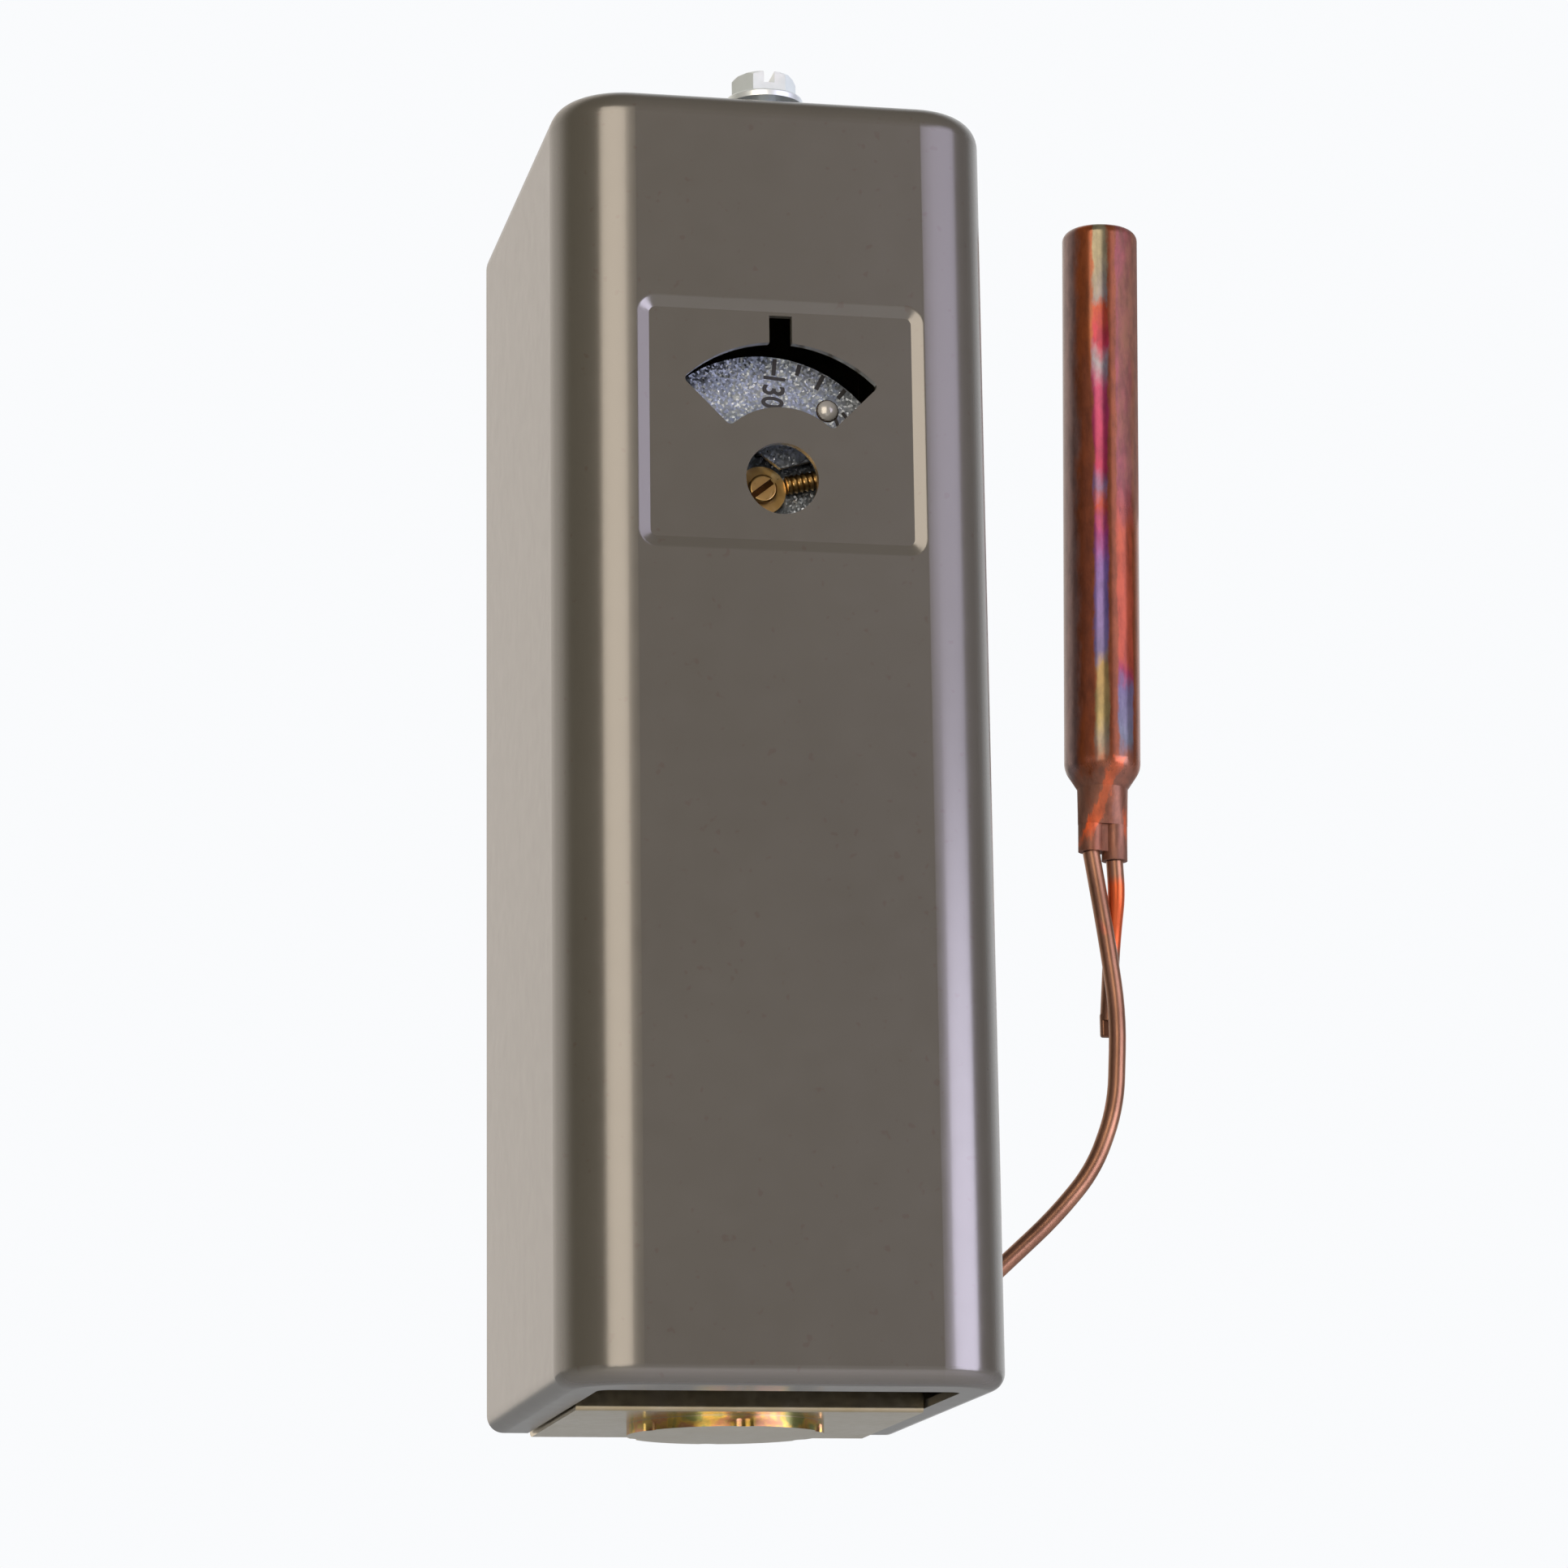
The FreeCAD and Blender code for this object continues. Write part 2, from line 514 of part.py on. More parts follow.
def exit_notch(x_left, x_right, way):
    """The capillary's way out: open to the rear (way 1) or to the front (way -1)."""
    z = capillary_exit_z()
    reach = CAPILLARY_RADIUS + EXIT_NOTCH_CLEARANCE
    end = TUBE_Y - way * (reach - EXIT_NOTCH_HALF_HEIGHT)
    run = SIDE_FLANGE_DEPTH
    y0, y1 = sorted((end, end + way * run))
    slot = block(x_left, x_right, y0, y1, z - EXIT_NOTCH_HALF_HEIGHT, z + EXIT_NOTCH_HALF_HEIGHT)
    return slot.fuse(rod_x(EXIT_NOTCH_HALF_HEIGHT, end, z, x_left, x_right))


def make_cover_screw():
    """Slotted hexagon washer head screw, standing slightly unscrewed on the cover."""
    z = SCREW_HEAD_Z
    washer = rod_z(SCREW_WASHER_RADIUS, 0, SCREW_Y, z, z + SCREW_WASHER_THICKNESS)
    washer = rounded(washer, SCREW_WASHER_THICKNESS / 3, lambda edge: near(edge.BoundBox.ZMin, z + SCREW_WASHER_THICKNESS))
    corner = SCREW_HEX_ACROSS_FLATS / 2 / math.cos(math.pi / 6)
    outline = [(corner * math.cos(math.radians(60 * i)), SCREW_Y + corner * math.sin(math.radians(60 * i)))
               for i in range(6)]
    top = z + SCREW_WASHER_THICKNESS + SCREW_HEX_HEIGHT
    hexagon = prism_z(outline, z + SCREW_WASHER_THICKNESS / 2, top)
    dome = Part.makeCone(corner + top - z, corner - SCREW_HEX_CHAMFER, top - z + SCREW_HEX_CHAMFER,
                         vec(0, SCREW_Y, z - SCREW_HEX_CHAMFER))
    slot = block(-SCREW_SLOT_WIDTH / 2, SCREW_SLOT_WIDTH / 2, SCREW_Y - corner - 1, SCREW_Y + corner + 1,
                 top - SCREW_SLOT_DEPTH, top + 1)
    shank = rod_z(SCREW_SHANK_RADIUS, 0, SCREW_Y, z - SCREW_LENGTH, z)
    return washer.fuse(hexagon.common(dome)).fuse(shank).cut(slot).removeSplitter()


def make_cover_nut():
    """Square nut that the cover screw carries under the chassis tab."""
    top = CHASSIS_TOP_Z - CHASSIS_SHEET - NUT_BELOW_TAB
    half = NUT_WIDTH / 2
    nut = block(-half, half, SCREW_Y - half, SCREW_Y + half, top - NUT_THICKNESS, top)
    nut = rounded(nut, NUT_THICKNESS / 3, lambda edge: runs_along(edge, "z"))
    bore = rod_z(SCREW_SHANK_RADIUS + RUNNING_CLEARANCE, 0, SCREW_Y, top - NUT_THICKNESS - 1, top + 1)
    return nut.cut(bore)


def bent_edges(shape, places, axis, radius):
    """Round the straight edges at the given bends of a folded sheet."""
    def at_bend(edge):
        centre = edge.CenterOfMass
        pair = {"x": (centre.y, centre.z), "z": (centre.x, centre.y)}[axis]
        return runs_along(edge, axis) and any(near(pair[0], a) and near(pair[1], b) for a, b in places)
    return rounded(shape, radius, at_bend)


def chassis_spine():
    """The folded strip: front lip, bottom flange, back and the tab under the cover's top."""
    t = CHASSIS_SHEET
    bottom = FLANGE_FACE_Z
    top = CHASSIS_TOP_Z
    tab_end = SCREW_Y - TAB_END_BEYOND_SCREW
    lip_top = bottom + FLANGE_LIP_HEIGHT
    outer = [(tab_end, top), (0, top), (0, bottom), (FLANGE_FRONT_Y, bottom), (FLANGE_FRONT_Y, lip_top)]
    inner = [(FLANGE_FRONT_Y + t, lip_top), (FLANGE_FRONT_Y + t, bottom + t), (-t, bottom + t),
             (-t, top - t), (tab_end, top - t)]
    spine = prism_x(outer + inner, -FLANGE_HALF_WIDTH, FLANGE_HALF_WIDTH)
    spine = bent_edges(spine, outer[1:3], "x", BEND_INSIDE_RADIUS + t)
    spine = bent_edges(spine, inner[2:4], "x", BEND_INSIDE_RADIUS)
    spine = bent_edges(spine, outer[3:4], "x", FLANGE_LIP_RADIUS)
    for side in (-1, 1):
        x0, x1 = sorted((side * TAB_WIDTH / 2, side * (FLANGE_HALF_WIDTH + 1)))
        spine = spine.cut(block(x0, x1, tab_end - 1, -t, top - 3 * t, top + 1))
    slot_end = SCREW_Y + TAB_SLOT_WIDTH / 2
    slot = block(-TAB_SLOT_WIDTH / 2, TAB_SLOT_WIDTH / 2, tab_end - 1, slot_end - TAB_SLOT_WIDTH / 2, top - 2 * t, top + 1)
    slot = slot.fuse(rod_z(TAB_SLOT_WIDTH / 2, 0, SCREW_Y, top - 2 * t, top + 1))
    return spine.cut(slot)


def chassis_channel():
    """The back's full width, with a low flange folded forward on each side."""
    t = CHASSIS_SHEET
    half = CHASSIS_HALF_WIDTH
    depth = SIDE_FLANGE_DEPTH
    outline = [(-half, -depth), (-half, 0), (half, 0), (half, -depth),
               (half - t, -depth), (half - t, -t), (t - half, -t), (t - half, -depth)]
    low = COVER_BOTTOM_Z + COVER_BOTTOM_RADIUS + CHASSIS_COVER_GAP
    high = CHASSIS_TOP_Z - COVER_TOP_RADIUS
    channel = prism_z(outline, low, high)
    channel = bent_edges(channel, outline[1:3], "z", BEND_INSIDE_RADIUS + t)
    channel = bent_edges(channel, outline[5:7], "z", BEND_INSIDE_RADIUS)
    return channel.cut(exit_notch(half - t - BEND_INSIDE_RADIUS, half + 1, -1))


def knockout():
    """The conduit knock-out: a disc half sheared out of the flange, held by scalloped webs."""
    y = -KNOCKOUT_FROM_WALL
    low = FLANGE_FACE_Z - KNOCKOUT_PROUD
    disc = rod_z(KNOCKOUT_RADIUS, 0, y, low, low + CHASSIS_SHEET)
    centre_radius = KNOCKOUT_RADIUS + KNOCKOUT_SCALLOP_RADIUS - KNOCKOUT_SCALLOP_BITE
    for i in range(KNOCKOUT_SCALLOPS):
        angle = math.radians(90 + 360 * i / KNOCKOUT_SCALLOPS)
        bite = rod_z(KNOCKOUT_SCALLOP_RADIUS, centre_radius * math.cos(angle), y + centre_radius * math.sin(angle),
                     low - 1, FLANGE_FACE_Z - KNOCKOUT_PROUD / 3)
        disc = disc.cut(bite)
    return disc


def make_chassis():
    body = chassis_spine().fuse(chassis_channel())
    y = -KNOCKOUT_FROM_WALL
    body = body.cut(rod_z(KNOCKOUT_RADIUS, 0, y, FLANGE_FACE_Z - 1, FLANGE_TOP_Z + 1)).fuse(knockout())
    holes = [(WALL_HOLE_RADIUS, 0, side * WALL_HOLE_SPACING / 2) for side in (-1, 1)]
    holes += [(SMALL_SCREW_RADIUS, x, z) for x, z in BRACKET_SCREW_PLACES + SWITCH_BRACKET_SCREW_PLACES]
    holes += [(SMALL_SCREW_RADIUS, GROUND_SCREW_X, COVER_BOTTOM_Z + GROUND_SCREW_ABOVE_FLANGE)]
    holes += [(ELEMENT_BOSS_RADIUS, 0, ELEMENT_Z)]
    for radius, x, z in holes:
        body = body.cut(rod_y(radius, x, z, -2 * CHASSIS_SHEET, 1))
    return body.removeSplitter()


def make_mechanism_bracket():
    """U-shaped bracket: a bridge behind the dial, two legs and four feet on the back."""
    t = BRACKET_SHEET
    half = BRACKET_HALF_WIDTH
    foot = half - t - BRACKET_FOOT_LENGTH
    outer = [(-half, PLATE_FACE_Y), (-half, BRACKET_FACE_Y), (half, BRACKET_FACE_Y), (half, PLATE_FACE_Y)]
    inner = [(foot, PLATE_FACE_Y), (foot, PLATE_FACE_Y - t), (half - t, PLATE_FACE_Y - t),
             (half - t, BRACKET_BACK_Y), (t - half, BRACKET_BACK_Y), (t - half, PLATE_FACE_Y - t),
             (-foot, PLATE_FACE_Y - t), (-foot, PLATE_FACE_Y)]
    top = DIAL_Z + BRACKET_ABOVE_DIAL
    low = PIVOT_Z - BRACKET_LEG_BELOW_PIVOT
    body = prism_z(outer + inner, low, top)
    body = bent_edges(body, outer, "z", BEND_INSIDE_RADIUS + t)
    body = bent_edges(body, inner[2:6], "z", BEND_INSIDE_RADIUS)
    plate_foot = DIAL_Z - BRACKET_PLATE_BELOW_DIAL
    body = body.cut(block(t + BEND_INSIDE_RADIUS - half, half - t - BEND_INSIDE_RADIUS, BRACKET_FACE_Y - 1,
                          BRACKET_BACK_Y + 1, low - 1, plate_foot))
    body = body.cut(block(-half - 1, half + 1, BRACKET_FACE_Y - 1, PIVOT_Y - 2 * PIN_CLIP_RADIUS,
                          low - 1, plate_foot))
    body = body.cut(block(t - half, half - t, PLATE_FACE_Y - 2 * t, PLATE_FACE_Y + 1,
                          low - 1, DIAL_Z - BRACKET_FOOT_BELOW_DIAL))
    return bracket_holes(body).removeSplitter()


def bracket_holes(body):
    """The bracket's bearing, pin and screw holes, leg windows and yoke slots."""
    reach = BRACKET_HALF_WIDTH + 1
    y = BRACKET_BACK_Y + LEG_WINDOW_BEHIND_PLATE
    window_low = DIAL_Z + BRACKET_ABOVE_DIAL / 2 - LEG_WINDOW_HEIGHT
    window = block(-reach, reach, y, y + LEG_WINDOW_DEPTH, window_low, window_low + LEG_WINDOW_HEIGHT)
    window = rounded(window, LEG_WINDOW_RADIUS, lambda edge: runs_along(edge, "x"))
    slot_half = YOKE_ARM_HEIGHT / 2 + YOKE_SLOT_CLEARANCE
    slot = block(-reach, reach, YOKE_FACE_Y - YOKE_TRAVEL_ROOM, YOKE_FACE_Y + YOKE_THICKNESS + YOKE_SLOT_CLEARANCE,
                 DIAL_Z - slot_half, DIAL_Z + slot_half)
    body = body.cut(window).cut(slot)
    body = body.cut(rod_x(PIN_RADIUS, PIVOT_Y, PIVOT_Z, -reach, reach))
    body = body.cut(rod_y(BUSHING_RADIUS, DIAL_X, DIAL_Z, BRACKET_FACE_Y - 1, BRACKET_BACK_Y + 1))
    for x, z in BRACKET_SCREW_PLACES:
        body = body.cut(rod_y(SMALL_SCREW_RADIUS + SCREW_PASS_CLEARANCE, x, z, PLATE_FACE_Y - 2 * BRACKET_SHEET, 0))
    return body


def screws_to_plate(places, sheet):
    """Screws that hold a foot of the given sheet to the back."""
    return Part.makeCompound([small_screw(x, z, PLATE_FACE_Y - sheet, -CHASSIS_SHEET / 4) for x, z in places])


def make_shaft_bushing():
    face = BRACKET_FACE_Y
    back = BRACKET_BACK_Y + BUSHING_FLANGE_THICKNESS
    body = rod_y(BUSHING_RADIUS, DIAL_X, DIAL_Z, face, back)
    body = body.fuse(rod_y(BUSHING_FLANGE_RADIUS, DIAL_X, DIAL_Z, BRACKET_BACK_Y, back)).removeSplitter()
    return body.cut(rod_y(SHAFT_RADIUS + RUNNING_CLEARANCE, DIAL_X, DIAL_Z, face - 1, back + 1))


def rivet_places():
    """Rivet centres about the dial's axis, clockwise from the top as seen from the front."""
    angles = [math.radians(RIVET_ANGLE + 360 * i / RIVET_COUNT) for i in range(RIVET_COUNT)]
    return [(DIAL_X + RIVET_CIRCLE_RADIUS * math.sin(a), DIAL_Z + RIVET_CIRCLE_RADIUS * math.cos(a)) for a in angles]


def make_dial():
    """Printed dial disc, with a central opening that a pointed tongue reaches into."""
    disc = rod_y(DIAL_RADIUS, DIAL_X, DIAL_Z, DIAL_FACE_Y, DIAL_BACK_Y)
    opening = rod_y(DIAL_OPENING_RADIUS, DIAL_X, DIAL_Z, DIAL_FACE_Y - 1, DIAL_BACK_Y + 1)
    apex = (DIAL_X + VEE_APEX_X, DIAL_Z + VEE_APEX_Z)
    reach = 2 * DIAL_OPENING_RADIUS

    def along(angle):
        return (apex[0] + reach * math.cos(math.radians(angle)), apex[1] + reach * math.sin(math.radians(angle)))
    middle = (VEE_LEFT_ANGLE + VEE_RIGHT_ANGLE) / 2
    tongue = prism_y([apex, along(VEE_RIGHT_ANGLE), along(middle), along(VEE_LEFT_ANGLE)],
                     DIAL_FACE_Y - 1, DIAL_BACK_Y + 1)
    disc = disc.cut(opening.cut(tongue))
    for x, z in rivet_places():
        disc = disc.cut(rod_y(RIVET_SHANK_RADIUS, x, z, DIAL_FACE_Y - 1, DIAL_BACK_Y + 1))
    return disc.removeSplitter()


def calibration_frame(x, y, z):
    """Placement of the calibration screw's line, for shapes built along X from the origin."""
    return FreeCAD.Placement(vec(x, y, z), FreeCAD.Rotation(vec(0, 1, 0), -CALIBRATION_ANGLE))


def make_dial_hub():
    """Hub plate behind the dial, staked on the adjusting screw, with the calibration ear."""
    plate = rod_y(HUB_RADIUS, DIAL_X, DIAL_Z, HUB_FACE_Y, HUB_BACK_Y)
    ear_x = COLLAR_RADIUS + CALIBRATION_GAP + CALIBRATION_LENGTH - EAR_THICKNESS
    ear = block(ear_x - EAR_THICKNESS, ear_x, -HUB_BEHIND_DIAL + RUNNING_CLEARANCE, HUB_SHEET / 2,
                -EAR_WIDTH / 2, EAR_WIDTH / 2)
    ear = ear.cut(rod_x(CALIBRATION_RADIUS, -HUB_BEHIND_DIAL / 2, 0, 0, 2 * ear_x))
    ear.Placement = calibration_frame(DIAL_X, HUB_FACE_Y, DIAL_Z)
    plate = plate.fuse(ear).cut(rod_y(SHAFT_RADIUS, DIAL_X, DIAL_Z, HUB_FACE_Y - 1, HUB_BACK_Y + 1))
    for x, z in rivet_places():
        plate = plate.cut(rod_y(RIVET_SHANK_RADIUS, x, z, HUB_FACE_Y - 1, HUB_BACK_Y + 1))
    return plate.removeSplitter()


def make_calibration_screw():
    """Fine screw across the hub, set and sealed at the factory."""
    start = COLLAR_RADIUS + CALIBRATION_GAP
    body = rod_x(CALIBRATION_RADIUS, 0, 0, start, start + CALIBRATION_LENGTH)
    head_start = start + CALIBRATION_LENGTH - CALIBRATION_HEAD_LENGTH + EAR_THICKNESS
    head = rod_x(CALIBRATION_HEAD_RADIUS, 0, 0, head_start, head_start + CALIBRATION_HEAD_LENGTH)
    body = body.fuse(head).removeSplitter()
    body.Placement = calibration_frame(DIAL_X, HUB_FACE_Y - HUB_BEHIND_DIAL / 2, DIAL_Z)
    return body


def make_dial_rivets():
    """Shouldered rivets with domed heads that hold the dial to its hub."""
    rivets = []
    for x, z in rivet_places():
        shank = rod_y(RIVET_SHANK_RADIUS, x, z, DIAL_FACE_Y, HUB_BACK_Y)
        shoulder = rod_y(RIVET_HEAD_RADIUS, x, z, DIAL_BACK_Y, HUB_FACE_Y)
        tail = rod_y(RIVET_HEAD_RADIUS, x, z, HUB_BACK_Y, HUB_BACK_Y + RIVET_TAIL_HEIGHT)
        head = domed_end(RIVET_HEAD_RADIUS, RIVET_HEAD_HEIGHT, x, z, DIAL_FACE_Y)
        rivets.append(shank.fuse([shoulder, tail, head]).removeSplitter())
    return Part.makeCompound(rivets)


def domed_end(radius, height, x, z, y_seat):
    """A spherical cap on y_seat that rises to the front."""
    ball_radius = (radius ** 2 + height ** 2) / (2 * height)
    ball = Part.makeSphere(ball_radius, vec(x, y_seat - height + ball_radius, z))
    return ball.common(rod_y(ball_radius + 1, x, z, y_seat - height, y_seat))


def make_adjusting_screw():
    """Brass shaft with the slotted stud, the collar in front of the hub and the rear thread."""
    stud_end = HUB_FACE_Y - COLLAR_LENGTH - STUD_LENGTH
    stud = rod_y(STUD_RADIUS, DIAL_X, DIAL_Z, stud_end, HUB_FACE_Y - COLLAR_LENGTH)
    stud = rounded(stud, STUD_LENGTH / 4, lambda edge: near(edge.BoundBox.YMax, stud_end))
    collar = rod_y(COLLAR_RADIUS, DIAL_X, DIAL_Z, HUB_FACE_Y - COLLAR_LENGTH, HUB_FACE_Y)
    shaft = rod_y(SHAFT_RADIUS, DIAL_X, DIAL_Z, HUB_FACE_Y, PLATE_FACE_Y - SHAFT_END_GAP)
    slot = block(-STUD_RADIUS - 1, STUD_RADIUS + 1, -1, STUD_SLOT_DEPTH, -STUD_SLOT_WIDTH / 2, STUD_SLOT_WIDTH / 2)
    slot.Placement = FreeCAD.Placement(vec(DIAL_X, stud_end, DIAL_Z),
                                       FreeCAD.Rotation(vec(0, 1, 0), -STUD_SLOT_ANGLE))
    return stud.fuse([collar, shaft]).removeSplitter().cut(slot)


def make_spring_yoke():
    """Spring seat: a threaded boss on the adjusting screw, kept from turning by its two arms."""
    y0 = YOKE_FACE_Y
    y1 = y0 + YOKE_THICKNESS
    half = BRACKET_HALF_WIDTH - RUNNING_CLEARANCE
    arms = block(-half, half, y0, y1, DIAL_Z - YOKE_ARM_HEIGHT / 2, DIAL_Z + YOKE_ARM_HEIGHT / 2)
    boss = rod_y(YOKE_BOSS_RADIUS, DIAL_X, DIAL_Z, y0, y1)
    bore = rod_y(SHAFT_RADIUS + RUNNING_CLEARANCE, DIAL_X, DIAL_Z, y0 - 1, y1 + 1)
    return arms.fuse(boss).cut(bore).removeSplitter()


def make_range_spring():
    """Compression spring between the lever and the yoke, its round wire drawn with flats."""
    gap = YOKE_BEHIND_LEVER - 2 * RUNNING_CLEARANCE
    pitch = (gap - 2 * SPRING_WIRE_RADIUS) / SPRING_TURNS
    helix = Part.makeHelix(pitch, pitch * SPRING_TURNS, SPRING_COIL_RADIUS)
    angles = [2 * math.pi * i / SPRING_WIRE_FLATS for i in range(SPRING_WIRE_FLATS + 1)]
    section = Part.makePolygon([vec(SPRING_COIL_RADIUS + SPRING_WIRE_RADIUS * math.cos(angle), 0,
                                    SPRING_WIRE_RADIUS * math.sin(angle)) for angle in angles])
    coil = Part.Wire(helix.Edges).makePipeShell([section], True, True)
    start = LEVER_REAR_Y + RUNNING_CLEARANCE + SPRING_WIRE_RADIUS
    coil.Placement = FreeCAD.Placement(vec(DIAL_X, start, DIAL_Z), FreeCAD.Rotation(vec(1, 0, 0), -90))
    return coil


def make_main_lever():
    """Stamped lever: a wide hub with two pivot ears, an upper and a lower arm."""
    top = DIAL_Z + LEVER_ABOVE_DIAL
    foot = ELEMENT_Z - LEVER_BELOW_STUD
    arm = LEVER_ARM_WIDTH / 2
    head = LEVER_TOP_WIDTH / 2
    hub = LEVER_HUB_HALF_WIDTH
    rise = LEVER_HUB_HEIGHT / 2
    left = [(-arm, foot), (-arm, PIVOT_Z - rise), (-hub, PIVOT_Z - rise), (-hub, PIVOT_Z + rise),
            (-head, PIVOT_Z + rise), (-head, top)]
    right = [(-x, z) for x, z in reversed(left)]
    plate = prism_y(left + right, LEVER_FACE_Y, LEVER_REAR_Y)
    plate = rounded(plate, LEVER_CORNER_RADIUS, lambda edge: runs_along(edge, "y"))
    plate = plate.cut(rod_y(LEVER_SCREW_HOLE_RADIUS, DIAL_X, DIAL_Z, LEVER_FACE_Y - 1, LEVER_REAR_Y + 1))
    for side in (-1, 1):
        x0, x1 = sorted((side * hub, side * (hub - LEVER_SHEET)))
        ear = block(x0, x1, LEVER_FACE_Y - LEVER_EAR_DEPTH + LEVER_SHEET, LEVER_REAR_Y,
                    PIVOT_Z - LEVER_EAR_HEIGHT / 2, PIVOT_Z + LEVER_EAR_HEIGHT / 2)
        plate = plate.fuse(ear)
    bore = rod_x(PIN_RADIUS + RUNNING_CLEARANCE, PIVOT_Y, PIVOT_Z, -hub - 1, hub + 1)
    return plate.cut(bore).removeSplitter()


def make_pivot_pin():
    end = BRACKET_HALF_WIDTH + PIN_STICKOUT
    return rod_x(PIN_RADIUS, PIVOT_Y, PIVOT_Z, -end, end)


def make_pin_clips():
    """Push-on rings that keep the pivot pin in the bracket's legs."""
    rings = []
    for side in (-1, 1):
        x0, x1 = sorted((side * BRACKET_HALF_WIDTH, side * (BRACKET_HALF_WIDTH + PIN_CLIP_THICKNESS)))
        ring = rod_x(PIN_CLIP_RADIUS, PIVOT_Y, PIVOT_Z, x0, x1)
        rings.append(ring.cut(rod_x(PIN_RADIUS, PIVOT_Y, PIVOT_Z, x0 - 1, x1 + 1)))
    return Part.makeCompound(rings)


def revolved_about_y(outline, z):
    """Revolve a closed outline of (radius, y) points about the Y line at X = 0 and height z."""
    points = [vec(radius, y, z) for radius, y in outline + outline[:1]]
    return Part.Face(Part.makePolygon(points)).revolve(vec(0, 0, z), vec(0, 1, 0), 360)


def make_element_base():
    """Rear cup of the power element, riveted to the back by its boss."""
    t = ELEMENT_WALL
    rim = ELEMENT_RIM_Y
    back = PLATE_FACE_Y
    outline = [(0, back), (ELEMENT_RADIUS - ELEMENT_EDGE_RADIUS, back), (ELEMENT_RADIUS, back - ELEMENT_EDGE_RADIUS),
               (ELEMENT_RADIUS, rim + t), (ELEMENT_RIM_RADIUS, rim + t), (ELEMENT_RIM_RADIUS, rim),
               (ELEMENT_RADIUS - t, rim), (ELEMENT_RADIUS - t, back - ELEMENT_EDGE_RADIUS - t / 2),
               (ELEMENT_RADIUS - t - ELEMENT_EDGE_RADIUS / 2, back - t), (0, back - t)]
    cup = revolved_about_y(outline, ELEMENT_Z)
    boss = rod_y(ELEMENT_BOSS_RADIUS, 0, ELEMENT_Z, back - t / 2, -CHASSIS_SHEET / 4)
    entry = capillary_entry(ELEMENT_RADIUS - t)
    outside = capillary_entry(ELEMENT_RADIUS + t)
    bore = Part.makeCylinder(CAPILLARY_RADIUS, 2 * t, entry, outside - entry)
    return cup.fuse(boss).cut(bore).removeSplitter()


def make_element_cap():
    """Front cup, with the mouth that the push stud comes out of."""
    t = ELEMENT_WALL
    seat = ELEMENT_RIM_Y - DIAPHRAGM_THICKNESS
    front = seat - ELEMENT_CAP_DEPTH
    outline = [(ELEMENT_RADIUS - t, seat), (ELEMENT_RIM_RADIUS, seat), (ELEMENT_RIM_RADIUS, seat - t),
               (ELEMENT_RADIUS, seat - t), (ELEMENT_RADIUS, front + ELEMENT_EDGE_RADIUS),
               (ELEMENT_RADIUS - ELEMENT_EDGE_RADIUS, front), (ELEMENT_MOUTH_RADIUS, front),
               (ELEMENT_MOUTH_RADIUS, front + t), (ELEMENT_RADIUS - t - ELEMENT_EDGE_RADIUS / 2, front + t),
               (ELEMENT_RADIUS - t, front + ELEMENT_EDGE_RADIUS + t / 2)]
    return revolved_about_y(outline, ELEMENT_Z)


def make_diaphragm():
    return rod_y(ELEMENT_RIM_RADIUS, 0, ELEMENT_Z, ELEMENT_RIM_Y - DIAPHRAGM_THICKNESS, ELEMENT_RIM_Y)


def make_push_stud():
    """Stud that carries the diaphragm's stroke to the lever, with a domed tip."""
    foot_y = ELEMENT_RIM_Y - DIAPHRAGM_THICKNESS - RUNNING_CLEARANCE
    tip_y = LEVER_REAR_Y + CONTACT_GAP
    dome = PUSH_STUD_RADIUS / 4
    foot = rod_y(PUSH_FOOT_RADIUS, 0, ELEMENT_Z, foot_y - PUSH_FOOT_THICKNESS, foot_y)
    shank = rod_y(PUSH_STUD_RADIUS, 0, ELEMENT_Z, tip_y + dome, foot_y - PUSH_FOOT_THICKNESS)
    tip = domed_end(PUSH_STUD_RADIUS, dome, 0, ELEMENT_Z, tip_y + dome)
    return foot.fuse([shank, tip]).removeSplitter()


def make_switch_bracket():
    """U-shaped bracket: a plate behind the switch, two legs and two feet on the back."""
    t = SWITCH_BRACKET_SHEET
    half = SWITCH_LEG_X + t
    foot = SWITCH_LEG_X - SWITCH_FOOT_LENGTH
    front = SWITCH_BACK_Y
    outer = [(-half, PLATE_FACE_Y), (-half, front), (half, front), (half, PLATE_FACE_Y)]
    inner = [(foot, PLATE_FACE_Y), (foot, PLATE_FACE_Y - t), (half - t, PLATE_FACE_Y - t), (half - t, front + t),
             (t - half, front + t), (t - half, PLATE_FACE_Y - t), (-foot, PLATE_FACE_Y - t), (-foot, PLATE_FACE_Y)]
    low = SWITCH_FOOT_Z + SWITCH_BRACKET_MARGIN
    high = SWITCH_TOP_Z
    body = prism_z(outer + inner, low, high)
    body = bent_edges(body, outer, "z", BEND_INSIDE_RADIUS + t)
    body = bent_edges(body, inner[2:6], "z", BEND_INSIDE_RADIUS)
    body = body.cut(block(t - half, half - t, PLATE_FACE_Y - 2 * t, PLATE_FACE_Y + 1,
                          low - 1, high - SWITCH_FOOT_HEIGHT))
    body = body.cut(rod_y(PLUNGER_FLANGE_RADIUS + 1, 0, PLUNGER_Z, front - 1, front + t + 1))
    for x, z in SWITCH_SCREW_PLACES:
        body = body.cut(rod_y(SMALL_SCREW_RADIUS, x, z, front - 1, front + t + 1))
    for x, z in SWITCH_BRACKET_SCREW_PLACES:
        body = body.cut(rod_y(SMALL_SCREW_RADIUS + SCREW_PASS_CLEARANCE, x, z, PLATE_FACE_Y - 2 * t, 0))
    return body.removeSplitter()


